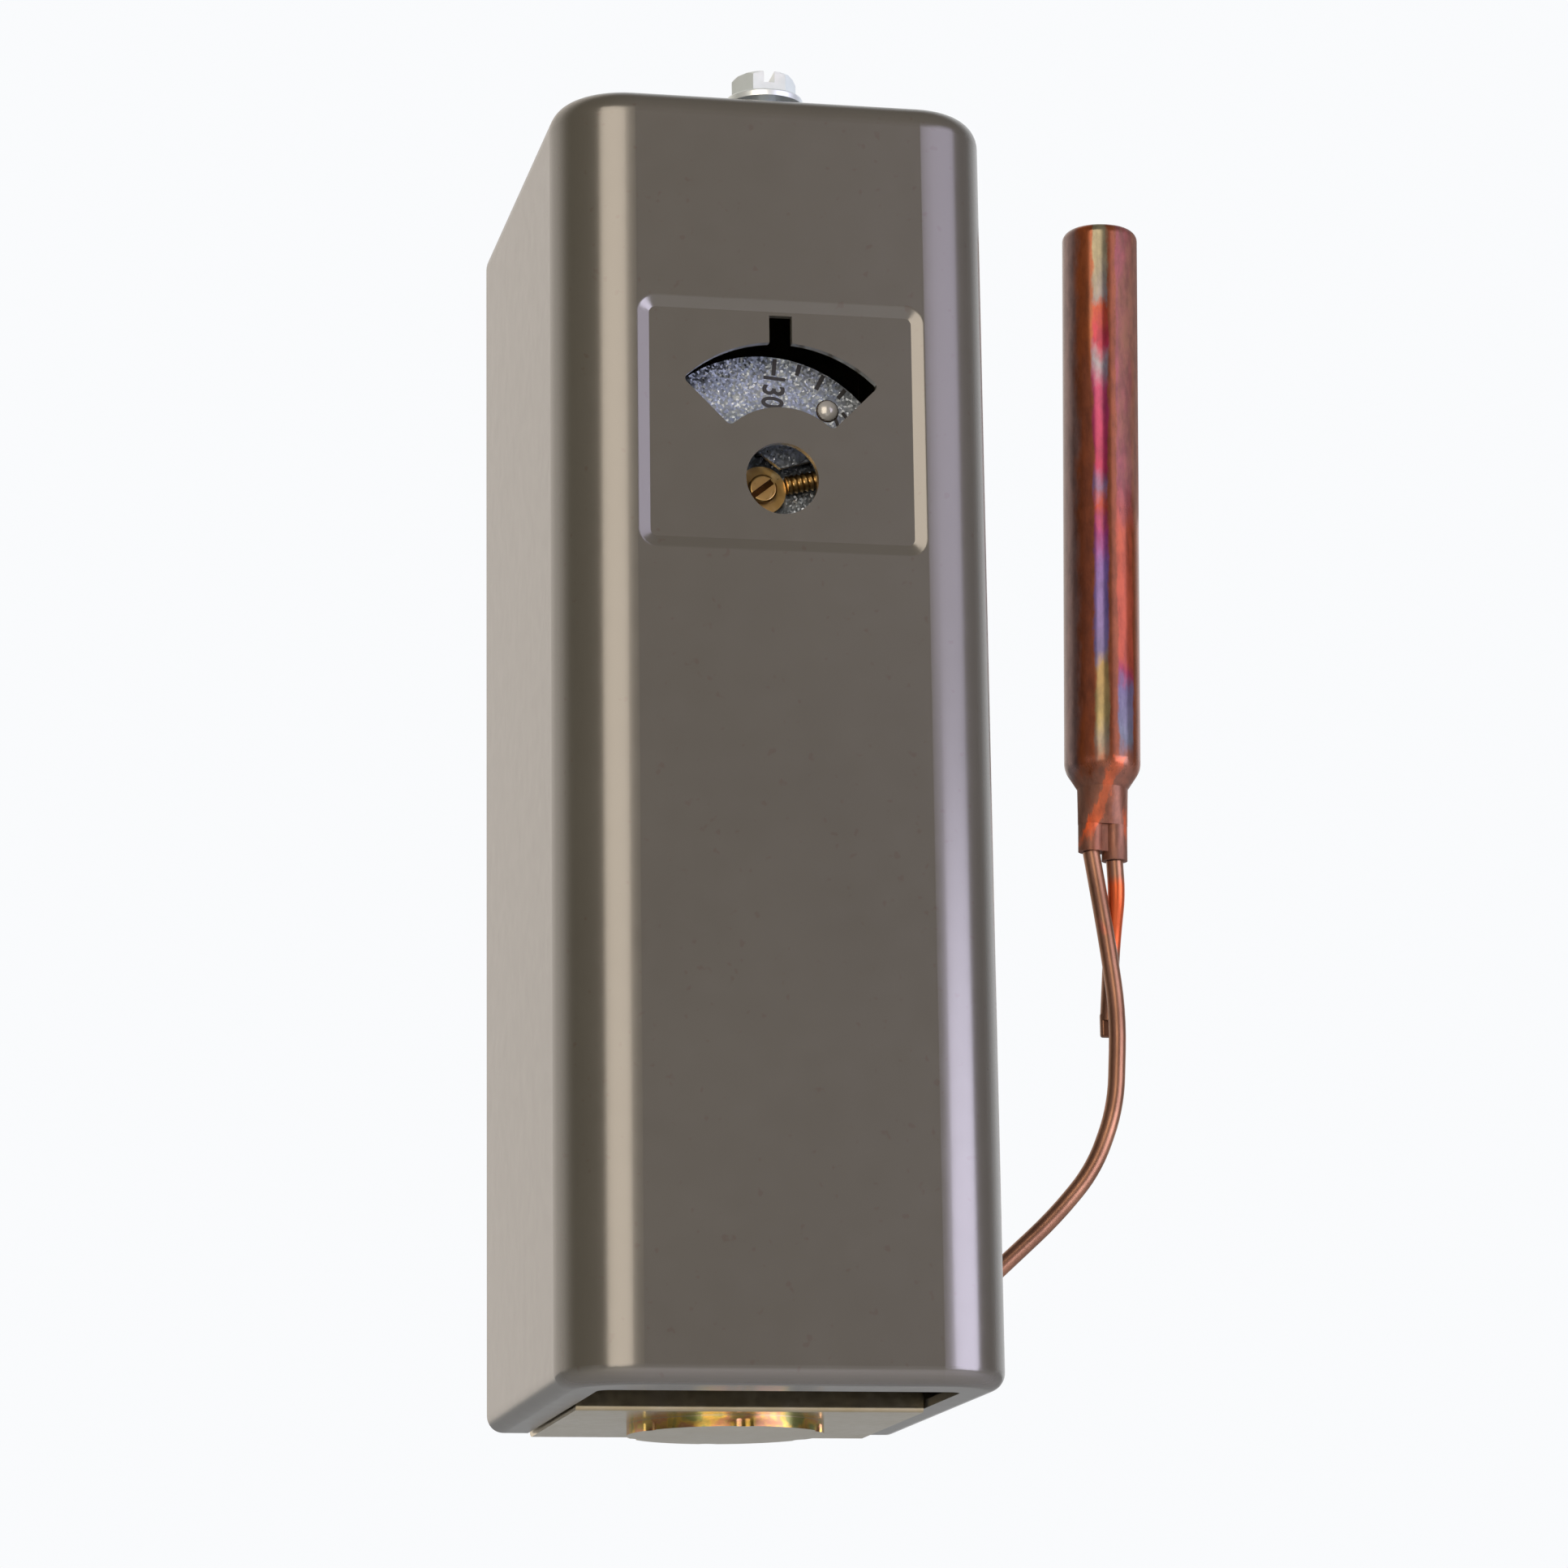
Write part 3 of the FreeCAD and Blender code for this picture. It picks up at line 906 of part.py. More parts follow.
def make_switch_body():
    """Moulded switch base with barriers between its terminals and a bore for the plunger."""
    body = block(-SWITCH_HALF_WIDTH, SWITCH_HALF_WIDTH, SWITCH_FACE_Y, SWITCH_BACK_Y, SWITCH_FOOT_Z, SWITCH_TOP_Z)
    body = rounded(body, SWITCH_EDGE_RADIUS, lambda edge: runs_along(edge, "y"))
    barrier_top = SWITCH_FOOT_Z + TERMINAL_ABOVE_SWITCH_FOOT + TERMINAL_HEIGHT
    for x in (-TERMINAL_PITCH / 2, TERMINAL_PITCH / 2):
        barrier = block(x - BARRIER_THICKNESS / 2, x + BARRIER_THICKNESS / 2, SWITCH_FACE_Y - BARRIER_HEIGHT,
                        SWITCH_FACE_Y + 1, SWITCH_FOOT_Z, barrier_top)
        body = body.fuse(barrier)
    body = body.cut(rod_y(PLUNGER_RADIUS + RUNNING_CLEARANCE, 0, PLUNGER_Z,
                          SWITCH_BACK_Y - PLUNGER_BORE_DEPTH, SWITCH_BACK_Y + 1))
    for x, z in TERMINAL_PLACES:
        body = body.cut(rod_y(SMALL_SCREW_RADIUS, x, z, SWITCH_FACE_Y - 1, SWITCH_FACE_Y + TERMINAL_SCREW_LENGTH))
    for x, z in SWITCH_SCREW_PLACES:
        body = body.cut(rod_y(SMALL_SCREW_RADIUS + SCREW_PASS_CLEARANCE, x, z, SWITCH_FACE_Y - 1, SWITCH_BACK_Y + 1))
    return body.removeSplitter()


def make_switch_lid():
    """Fibre lid over the contacts, on the front of the switch."""
    high = SWITCH_TOP_Z - SWITCH_LID_BELOW_TOP
    half = SWITCH_HALF_WIDTH - SWITCH_LID_SIDE_MARGIN
    lid = block(-half, half, SWITCH_FACE_Y - SWITCH_LID_THICKNESS, SWITCH_FACE_Y, high - SWITCH_LID_HEIGHT, high)
    return rounded(lid, SWITCH_EDGE_RADIUS, lambda edge: runs_along(edge, "y"))


def make_switch_plunger():
    """Plunger between the lever and the contacts."""
    inner_end = SWITCH_BACK_Y - PLUNGER_BORE_DEPTH / 2
    tip_y = LEVER_FACE_Y - CONTACT_GAP
    dome = PLUNGER_RADIUS / 4
    shank = rod_y(PLUNGER_RADIUS, 0, PLUNGER_Z, inner_end, tip_y - dome)
    tip = domed_end(PLUNGER_RADIUS, dome, 0, -PLUNGER_Z, dome - tip_y)
    tip.Placement = FreeCAD.Placement(vec(0, 0, 0), FreeCAD.Rotation(vec(1, 0, 0), 180))
    return shank.fuse(tip).removeSplitter()


def make_terminals():
    """Three flat terminals in their bays."""
    plates = []
    for x, z in TERMINAL_PLACES:
        low = z - TERMINAL_HEIGHT / 2
        plate = block(x - TERMINAL_WIDTH / 2, x + TERMINAL_WIDTH / 2, SWITCH_FACE_Y - TERMINAL_THICKNESS,
                      SWITCH_FACE_Y, low, low + TERMINAL_HEIGHT)
        plate = rounded(plate, TERMINAL_THICKNESS, lambda edge: runs_along(edge, "y"))
        plates.append(plate.cut(rod_y(SMALL_SCREW_RADIUS, x, z, SWITCH_FACE_Y - 2, SWITCH_FACE_Y + 1)))
    return Part.makeCompound(plates)


def make_terminal_screws():
    seat = SWITCH_FACE_Y - TERMINAL_THICKNESS
    end = SWITCH_FACE_Y + TERMINAL_SCREW_LENGTH
    return Part.makeCompound([small_screw(x, z, seat, end) for x, z in TERMINAL_PLACES])


def make_switch_screws():
    end = SWITCH_BACK_Y + SWITCH_BRACKET_SHEET
    return Part.makeCompound([small_screw(x, z, SWITCH_FACE_Y, end) for x, z in SWITCH_SCREW_PLACES])


def make_ground_screw():
    """Hexagonal grounding screw on the back, with a washer face."""
    z = COVER_BOTTOM_Z + GROUND_SCREW_ABOVE_FLANGE
    shank_front = PLATE_FACE_Y - GROUND_SHANK_LENGTH
    corner = GROUND_HEAD_RADIUS
    outline = [(GROUND_SCREW_X + corner * math.cos(math.radians(60 * i)), z + corner * math.sin(math.radians(60 * i)))
               for i in range(6)]
    head = prism_y(outline, shank_front, shank_front + GROUND_HEAD_RADIUS)
    slot = block(GROUND_SCREW_X - corner, GROUND_SCREW_X + corner, shank_front - 1, shank_front + SMALL_SLOT_DEPTH,
                 z - SMALL_SLOT_WIDTH / 2, z + SMALL_SLOT_WIDTH / 2)
    shank = rod_y(SMALL_SCREW_RADIUS, GROUND_SCREW_X, z, shank_front + 1, -CHASSIS_SHEET / 4)
    return head.fuse(shank).cut(slot).removeSplitter()


def bulb_frame():
    """Placement of the bulb: built upright about the origin, then leant and moved."""
    return FreeCAD.Placement(vec(BULB_FOOT_X, TUBE_Y, BULB_FOOT_Z), FreeCAD.Rotation(vec(0, 1, 0), BULB_LEAN))


def make_bulb():
    """Sensing bulb: a closed tube, a swaged shoulder and a neck crimped into two lobes."""
    body = rod_z(BULB_RADIUS, 0, 0, 0, BULB_LENGTH)
    body = rounded(body, BULB_END_RADIUS, lambda edge: near(edge.BoundBox.ZMin, BULB_LENGTH))
    shoulder = Part.makeCone(NECK_RADIUS, BULB_RADIUS, SHOULDER_LENGTH, vec(0, 0, -SHOULDER_LENGTH))
    body = rounded(body.fuse(shoulder), SHOULDER_ROUNDING,
                   lambda edge: near(edge.BoundBox.ZMin, 0) and near(edge.BoundBox.ZMax, 0))
    taper_low = -SHOULDER_LENGTH - NECK_TAPER_LENGTH
    ring = Part.Wire(Part.makeCircle(NECK_RADIUS, vec(0, 0, -SHOULDER_LENGTH)))
    flat = Part.Wire(Part.Ellipse(vec(0, 0, taper_low), NECK_RADIUS, NECK_FLAT).toShape())
    taper = Part.makeLoft([ring, flat], True)
    left = rod_z(LOBE_RADIUS, -LOBE_OFFSET, 0, -LEFT_LOBE_LENGTH, taper_low)
    right = rod_z(LOBE_RADIUS, LOBE_OFFSET, 0, -RIGHT_LOBE_LENGTH, taper_low)
    web = block(-LOBE_OFFSET, LOBE_OFFSET, -LOBE_WEB, LOBE_WEB, -LEFT_LOBE_LENGTH, taper_low)
    bulb = body.fuse([taper, left, right, web]).removeSplitter()
    bulb.Placement = bulb_frame()
    return bulb


def lobe_end(side, length):
    """Middle of the end face of one lobe."""
    return bulb_frame().multVec(vec(side * LOBE_OFFSET, 0, -length))


def capillary_entry(radius):
    """Where the capillary's line meets a circle of this radius about the power element."""
    angle = math.radians(CAPILLARY_ENTRY_ANGLE)
    return vec(radius * math.cos(angle), TUBE_Y, ELEMENT_Z + radius * math.sin(angle))


def tube_along(points, radius):
    """A round tube along straight runs with tangent arcs as large as the runs allow."""
    edges = []
    start = points[0]
    for before, corner, after in zip(points, points[1:], points[2:]):
        into = (corner - before).normalize()
        out = (after - corner).normalize()
        turn = into.getAngle(out)
        trim = CAPILLARY_ARC_SHARE * min(before.distanceToPoint(corner), corner.distanceToPoint(after))
        arc_radius = trim / math.tan(turn / 2)
        arc_start = corner - into * trim
        arc_end = corner + out * trim
        inward = (out - into).normalize()
        depth = arc_radius / math.cos(turn / 2) - arc_radius
        edges.append(Part.LineSegment(start, arc_start).toShape())
        edges.append(Part.Arc(arc_start, corner + inward * depth, arc_end).toShape())
        start = arc_end
    edges.append(Part.LineSegment(start, points[-1]).toShape())
    path = Part.Wire(edges)
    section = Part.Wire(Part.makeCircle(radius, points[0], points[1] - points[0]))
    return path.makePipeShell([section], True, True)


def make_capillary():
    """Formed soft copper tube from the bulb's left lobe to the power element."""
    entry = capillary_entry(ELEMENT_RADIUS - ELEMENT_WALL / 2)
    points = [lobe_end(-1, LEFT_LOBE_LENGTH)] + capillary_bends() + [entry]
    return tube_along(points, CAPILLARY_RADIUS)


def make_charge_tube():
    """Short filling tube from the right lobe, pinched flat and sealed behind the capillary."""
    start = lobe_end(1, RIGHT_LOBE_LENGTH)
    points = [start] + [start + vec(dx, dy, -drop) for dx, dy, drop in CHARGE_TUBE_BENDS]
    tube = tube_along(points, CAPILLARY_RADIUS)
    end = points[-1]
    pinch = block(-CAPILLARY_RADIUS, CAPILLARY_RADIUS, -CAPILLARY_RADIUS / 2, CAPILLARY_RADIUS / 2, -CHARGE_PINCH_LENGTH, 0)
    pinch = rounded(pinch, CAPILLARY_RADIUS / 3, lambda edge: True)
    pinch.Placement = FreeCAD.Placement(end + vec(0, 0, CHARGE_PINCH_LENGTH / 3), FreeCAD.Rotation())
    return tube.fuse(pinch).removeSplitter()


NODES = {
    "cover": make_cover,
    "cover_screw": make_cover_screw,
    "cover_nut": make_cover_nut,
    "chassis": make_chassis,
    "mechanism_bracket": make_mechanism_bracket,
    "bracket_screws": lambda: screws_to_plate(BRACKET_SCREW_PLACES, BRACKET_SHEET),
    "shaft_bushing": make_shaft_bushing,
    "dial": make_dial,
    "dial_hub": make_dial_hub,
    "dial_rivets": make_dial_rivets,
    "calibration_screw": make_calibration_screw,
    "adjusting_screw": make_adjusting_screw,
    "spring_yoke": make_spring_yoke,
    "range_spring": make_range_spring,
    "main_lever": make_main_lever,
    "pivot_pin": make_pivot_pin,
    "pin_clips": make_pin_clips,
    "element_base": make_element_base,
    "element_cap": make_element_cap,
    "diaphragm": make_diaphragm,
    "push_stud": make_push_stud,
    "switch_bracket": make_switch_bracket,
    "switch_bracket_screws": lambda: screws_to_plate(SWITCH_BRACKET_SCREW_PLACES, SWITCH_BRACKET_SHEET),
    "switch_body": make_switch_body,
    "switch_lid": make_switch_lid,
    "switch_plunger": make_switch_plunger,
    "terminals": make_terminals,
    "terminal_screws": make_terminal_screws,
    "switch_screws": make_switch_screws,
    "ground_screw": make_ground_screw,
    "bulb": make_bulb,
    "capillary": make_capillary,
    "charge_tube": make_charge_tube,
}

os.makedirs("parts", exist_ok=True)
for name, make in NODES.items():
    shape = make()
    shape.exportStep("parts/" + name + ".step")
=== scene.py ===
import bpy
import bmesh
import json
import math
from mathutils import Matrix, Vector


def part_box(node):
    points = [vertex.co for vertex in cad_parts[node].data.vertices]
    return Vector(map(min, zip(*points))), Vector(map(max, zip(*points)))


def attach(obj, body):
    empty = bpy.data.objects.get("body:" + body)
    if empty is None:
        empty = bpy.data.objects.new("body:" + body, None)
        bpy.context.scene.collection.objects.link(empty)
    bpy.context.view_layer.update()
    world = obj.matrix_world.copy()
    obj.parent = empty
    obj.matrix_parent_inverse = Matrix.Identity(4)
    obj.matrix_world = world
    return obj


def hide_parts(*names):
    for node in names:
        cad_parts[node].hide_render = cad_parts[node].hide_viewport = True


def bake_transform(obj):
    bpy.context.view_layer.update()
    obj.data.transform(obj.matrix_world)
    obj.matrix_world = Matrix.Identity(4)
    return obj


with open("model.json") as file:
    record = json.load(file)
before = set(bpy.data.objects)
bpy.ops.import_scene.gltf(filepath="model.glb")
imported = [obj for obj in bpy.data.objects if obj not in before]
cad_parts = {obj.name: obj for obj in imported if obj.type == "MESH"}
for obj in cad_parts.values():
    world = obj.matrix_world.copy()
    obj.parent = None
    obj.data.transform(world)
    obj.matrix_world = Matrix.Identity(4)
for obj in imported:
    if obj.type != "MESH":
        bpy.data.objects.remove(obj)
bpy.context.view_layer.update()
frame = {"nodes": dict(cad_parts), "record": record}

MM = 0.001

# Camera, as the photograph was taken: from the left and from below
CAMERA_PLACE = Vector((-106.5, -570.9, -124.3)) * MM
CAMERA_TURN = (102.62, 0.77, -11.52)
CAMERA_LENS = 114.5
SENSOR_WIDTH = 36.0

# Studio
FLOOR_Z = -0.32
FLOOR_REACH = 4.0
BACKDROP_WHITE = (0.955, 0.965, 0.98)
ROOM_LEFT_TINT = (1.0, 0.91, 0.82)
ROOM_RIGHT_TINT = (0.96, 0.97, 0.98)
ROOM_FRONT_DIM = 0.05
ROOM_BACK_FADE = (0.15, 0.70)
ROOM_RIGHT_FADE = (-0.15, 0.15)
SKY_STRENGTH = 0.35
LAMP_TARGET = Vector((0.0, -0.03, 0.0))
LAMP_DISTANCE = 0.80

# Dial print
SCALE_STEP_DEG = 11.2
SCALE_START_DEG = 5.2
SCALE_TICKS = 15
SCALE_FIRST_NUMBER = 130
SCALE_NUMBER_STEP = 40
TICKS_PER_NUMBER = 4
TICK_OUTER_INSET = 0.15 * MM
TICK_LENGTH = 1.3 * MM
MIDDLE_TICK_LENGTH = 1.9 * MM
TICK_WIDTH = 0.48 * MM
NUMBER_HEIGHT = 3.4 * MM
NUMBER_NARROWING = 0.82
NUMBER_RADIUS = 11.1 * MM
NUMBER_BOLDNESS = 0.07 * MM
PRINT_THICKNESS = 0.03 * MM

# Fine threads
CALIBRATION_PITCH = 0.62 * MM
CALIBRATION_THREAD_DEPTH = 0.22 * MM
CALIBRATION_TURN_DEG = 13.0
CALIBRATION_RADIUS = 1.1 * MM
CALIBRATION_HEAD_RADIUS = 1.2 * MM
CALIBRATION_HEAD_LENGTH = 1.4 * MM
COVER_SCREW_PITCH = 0.8 * MM
COVER_SCREW_THREAD_DEPTH = 0.28 * MM
COVER_SCREW_CREST_RADIUS = 1.95 * MM
COVER_SCREW_THREAD_LENGTH = 3.9 * MM
COVER_SCREW_STANDOFF = 1.2 * MM

# Points round a thread and round a head, and rows of points for each pitch
THREAD_SIDES = 32
THREAD_ROWS_PER_PITCH = 6
HEAD_SIDES = 40

# Range spring
SPRING_WIRE_RADIUS = 0.55 * MM
SPRING_TURNS = 6.5
SPRING_CLOSED_TURNS = 0.8
SPRING_CLOSED_GAP = 0.04
SPRING_WIRE_SIDES = 12
SPRING_STEPS_PER_TURN = 36

# Sheared wall of the knock-out: its height, the share of it that is fully gold, and how level
# a face is where the gold starts and where it is full
KNOCKOUT_WALL = 1.22 * MM
KNOCKOUT_GOLD_SHARE = 0.96
LEVEL_FADE = (0.8, 0.3)

# Painted shade in the slot of the adjusting screw and around its stud: the depths behind its face where
# it starts and where it ends, each with the depth at which it is full
SLOT_SHADE_FROM = (0.22 * MM, 0.33 * MM)
SLOT_SHADE_TO = (1.06 * MM, 1.007 * MM)
SLOT_SHADE = (0.10, 0.045, 0.014)

# Painted shade round a rivet's head where it meets the dial: how the dome faces where the shade starts
# and where it is full
RIVET_SEAM_SHADE_FADE = (-0.74, -0.64)
RIVET_SEAM_SHADE = (0.06, 0.045, 0.035)

# Heat tints of the bulb, from its foot up in shares of its height, and how far they wander
BULB_LEAN_DEG = 1.3
BULB_RADIUS = 4.6 * MM
TINT_WOBBLE = Vector((1.4, 0.0, 8.0)) * MM
STREAK_STRETCH = (1.0, 1.0, 0.35)
FRONT_TINTS = [(0.14, (0.30, 0.09, 0.04)), (0.17, (0.22, 0.18, 0.13)), (0.21, (0.26, 0.20, 0.08)),
               (0.29, (0.24, 0.16, 0.06)), (0.32, (0.12, 0.10, 0.22)), (0.44, (0.14, 0.08, 0.25)),
               (0.50, (0.24, 0.03, 0.14)), (0.54, (0.31, 0.04, 0.02)), (0.57, (0.18, 0.11, 0.20)),
               (0.61, (0.30, 0.02, 0.07)), (0.73, (0.29, 0.03, 0.09)), (0.77, (0.20, 0.19, 0.22)),
               (0.81, (0.30, 0.02, 0.05)), (0.86, (0.31, 0.05, 0.02)), (0.88, (0.18, 0.16, 0.16)),
               (0.94, (0.24, 0.21, 0.13))]
SIDE_TINTS = [(0.15, (0.26, 0.10, 0.06)), (0.18, (0.17, 0.18, 0.22)), (0.25, (0.16, 0.13, 0.22)),
              (0.28, (0.30, 0.04, 0.08)), (0.31, (0.42, 0.08, 0.04)), (0.50, (0.42, 0.09, 0.04)),
              (0.58, (0.28, 0.06, 0.08))]
UPPER_FADE = (0.50, 0.60)
NECK_FADE = (0.15, 0.11)

# Strips of the bulb's front that show the tints, in shares of its radius to the right of its axis
FRONT_STRIP = (-0.50, -0.06)
SIDE_STRIP = (0.10, 0.66)
STRIP_SOFTNESS = 0.08
RIGHT_FADE = (0.0, 0.3)
FAR_LEFT_FADE = (-0.74, -0.92)

# Copper colours
COPPER_HAZE = (0.25, 0.115, 0.072)
COPPER_BROWN = (0.25, 0.07, 0.026)
COPPER_ORANGE = (0.36, 0.09, 0.025)
COPPER_LEFT_HAZE = (0.24, 0.15, 0.14)
# painted highlight: the bright orange of the neck's streaks
COPPER_PAINTED_HIGHLIGHT = (0.85, 0.14, 0.03)
TUBE_BARE = (0.56, 0.10, 0.025)

# Painted highlight streaks of the neck, bright orange for the lamps' reflections on the copper: one that
# leans by this much over the bulb's height, and one at its right
HIGHLIGHT_LEAN = -6.0
LEANING_HIGHLIGHT_STRIP = (-0.90, -0.48)
LEANING_HIGHLIGHT_TOP_FADE = (0.155, 0.135)
RIGHT_HIGHLIGHT_STRIP = (0.40, 0.62)
RIGHT_HIGHLIGHT_TOP_FADE = (0.08, 0.06)
HIGHLIGHT_FOOT_FADE = (0.015, 0.04)

# Bare length of the charge tube, in shares of its height
TUBE_BARE_FOOT_FADE = (0.44, 0.56)
TUBE_BARE_TOP_FADE = (0.92, 0.84)


def node(name):
    return frame["nodes"][name]


def box_centre(name):
    low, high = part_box(name)
    return (low + high) / 2


# Shader building blocks

def shader_node(tree, kind, **values):
    """Add a node and set its inputs by name, where spaces are written as underscores."""
    made = tree.nodes.new(kind)
    for key, value in values.items():
        made.inputs[key.replace("_", " ")].default_value = value
    return made


def connect(tree, source, output, target, entry):
    tree.links.new(source.outputs[output], target.inputs[entry])


def maths_node(tree, operation):
    made = tree.nodes.new("ShaderNodeMath")
    made.operation = operation
    return made


def vector_maths_node(tree, operation):
    made = tree.nodes.new("ShaderNodeVectorMath")
    made.operation = operation
    return made


def split_axes(tree, source, output):
    """The X, Y and Z of a vector."""
    split = tree.nodes.new("ShaderNodeSeparateXYZ")
    connect(tree, source, output, split, 0)
    return split


def noise_over(tree, source, output, **values):
    """A noise texture over a place."""
    made = shader_node(tree, "ShaderNodeTexNoise", **values)
    connect(tree, source, output, made, "Vector")
    return made


def new_group(name, entries, exits):
    """A shader node group with named inputs and outputs, given as (name, kind, default)."""
    tree = bpy.data.node_groups.new(name, "ShaderNodeTree")
    for label, kind, default in entries:
        socket = tree.interface.new_socket(name=label, in_out="INPUT", socket_type=kind)
        if default is not None:
            socket.default_value = default
    for label, kind in exits:
        tree.interface.new_socket(name=label, in_out="OUTPUT", socket_type=kind)
    return tree, tree.nodes.new("NodeGroupInput"), tree.nodes.new("NodeGroupOutput")


def mix_colours(tree, mode="MIX", factor=None):
    """A colour mix node, as (node, factor socket, A, B, result)."""
    mix = tree.nodes.new("ShaderNodeMix")
    mix.data_type = "RGBA"
    mix.blend_type = mode
    if factor is not None:
        mix.inputs[0].default_value = factor
    return mix, mix.inputs[0], mix.inputs[6], mix.inputs[7], mix.outputs[2]


def ramp(tree, source, stops):
    """A colour ramp over a value, with stops of (place, grey or colour)."""
    made = tree.nodes.new("ShaderNodeValToRGB")
    connect(tree, source, 0, made, 0)
    elements = made.color_ramp.elements
    while len(elements) < len(stops):
        elements.new(0.5)
    for element, (place, tone) in zip(elements, stops):
        element.position = place
        element.color = (tone, tone, tone, 1) if isinstance(tone, float) else (*tone, 1)
    return made


def rgba(colour):
    return (*colour, 1.0)


def map_values(tree, source, output, low, high, at_low=0.0, at_high=1.0):
    """A value that goes from at_low to at_high while another one goes from low to high."""
    made = tree.nodes.new("ShaderNodeMapRange")
    made.inputs["From Min"].default_value = low
    made.inputs["From Max"].default_value = high
    made.inputs["To Min"].default_value = at_low
    made.inputs["To Max"].default_value = at_high
    connect(tree, source, output, made, "Value")
    return made


def fade(tree, source, output, low, high, at_low=0.0, at_high=1.0):
    """The same as map_values, with a smooth start and end."""
    made = map_values(tree, source, output, low, high, at_low, at_high)
    made.interpolation_type = "SMOOTHSTEP"
    return made


def calculate(tree, operation, first, second, outputs=(0, 0)):
    """A maths node over two other nodes."""
    made = maths_node(tree, operation)
    connect(tree, first, outputs[0], made, 0)
    connect(tree, second, outputs[1], made, 1)
    return made


def laid_over(tree, mask, under, over):
    """A colour socket over another one or a plain colour, by a mask node."""
    mix, _, base, top, result = mix_colours(tree)
    connect(tree, mask, 0, mix, 0)
    for target, colour in ((base, under), (top, over)):
        if isinstance(colour, tuple):
            target.default_value = rgba(colour)
        else:
            tree.links.new(colour, target)
    return result


def stretched_place(tree, enter):
    """The object's own coordinates, drawn out by a group's Stretch."""
    place = tree.nodes.new("ShaderNodeTexCoord")
    stretch = vector_maths_node(tree, "MULTIPLY")
    connect(tree, place, "Object", stretch, 0)
    connect(tree, enter, "Stretch", stretch, 1)
    return place, stretch


def make_mottle_group():
    """Slow drift between two colours, with fine specks of a third."""
    tree, enter, leave = new_group(
        "surface_mottle",
        [("Scale", "NodeSocketFloat", 60.0), ("Stretch", "NodeSocketVector", (1, 1, 1)),
         ("Tone A", "NodeSocketColor", None), ("Tone B", "NodeSocketColor", None),
         ("Speck Colour", "NodeSocketColor", None), ("Speck Scale", "NodeSocketFloat", 400.0),
         ("Speck Amount", "NodeSocketFloat", 0.1)],
        [("Colour", "NodeSocketColor")])
    place, stretch = stretched_place(tree, enter)
    noise = noise_over(tree, stretch, 0, Detail=4.0, Roughness=0.6)
    connect(tree, enter, "Scale", noise, "Scale")
    soften = ramp(tree, noise, [(0.32, 0.0), (0.68, 1.0)])
    _, factor, tone_a, tone_b, blended = mix_colours(tree)
    tree.links.new(soften.outputs[0], factor)
    tree.links.new(enter.outputs["Tone A"], tone_a)
    tree.links.new(enter.outputs["Tone B"], tone_b)
    specks = noise_over(tree, place, "Object", Detail=1.0)
    connect(tree, enter, "Speck Scale", specks, "Scale")
    sharp = ramp(tree, specks, [(0.70, 0.0), (0.78, 1.0)])
    amount = calculate(tree, "MULTIPLY", sharp, enter, (0, "Speck Amount"))
    _, factor, base, speck, result = mix_colours(tree)
    tree.links.new(amount.outputs[0], factor)
    tree.links.new(blended, base)
    tree.links.new(enter.outputs["Speck Colour"], speck)
    tree.links.new(result, leave.inputs["Colour"])
    return tree


def make_grain_group():
    """Fine bump of a surface, drawn out along an axis where the metal was rolled or turned."""
    tree, enter, leave = new_group(
        "surface_grain",
        [("Scale", "NodeSocketFloat", 900.0), ("Stretch", "NodeSocketVector", (1, 1, 1)),
         ("Height", "NodeSocketFloat", 0.00002), ("Strength", "NodeSocketFloat", 0.3)],
        [("Normal", "NodeSocketVector"), ("Grain", "NodeSocketFloat")])
    _, stretch = stretched_place(tree, enter)
    noise = noise_over(tree, stretch, 0, Detail=3.0, Roughness=0.55)
    connect(tree, enter, "Scale", noise, "Scale")
    bump = tree.nodes.new("ShaderNodeBump")
    connect(tree, noise, 0, bump, "Height")
    connect(tree, enter, "Height", bump, "Distance")
    connect(tree, enter, "Strength", bump, "Strength")
    connect(tree, bump, 0, leave, "Normal")
    connect(tree, noise, 0, leave, "Grain")
    return tree


def make_edge_group():
    """Mask of the worn edges, from the curvature of the mesh."""
    tree, enter, leave = new_group(
        "edge_wear",
        [("Start", "NodeSocketFloat", 0.53), ("Gain", "NodeSocketFloat", 14.0),
         ("Breakup", "NodeSocketFloat", 300.0)],
        [("Mask", "NodeSocketFloat")])
    shape = tree.nodes.new("ShaderNodeNewGeometry")
    place = tree.nodes.new("ShaderNodeTexCoord")
    noise = noise_over(tree, place, "Object", Detail=4.0)
    connect(tree, enter, "Breakup", noise, "Scale")
    above = calculate(tree, "SUBTRACT", shape, enter, ("Pointiness", "Start"))
    gained = calculate(tree, "MULTIPLY", above, enter, (0, "Gain"))
    broken = calculate(tree, "MULTIPLY", gained, noise)
    broken.use_clamp = True
    connect(tree, broken, 0, leave, "Mask")
    return tree


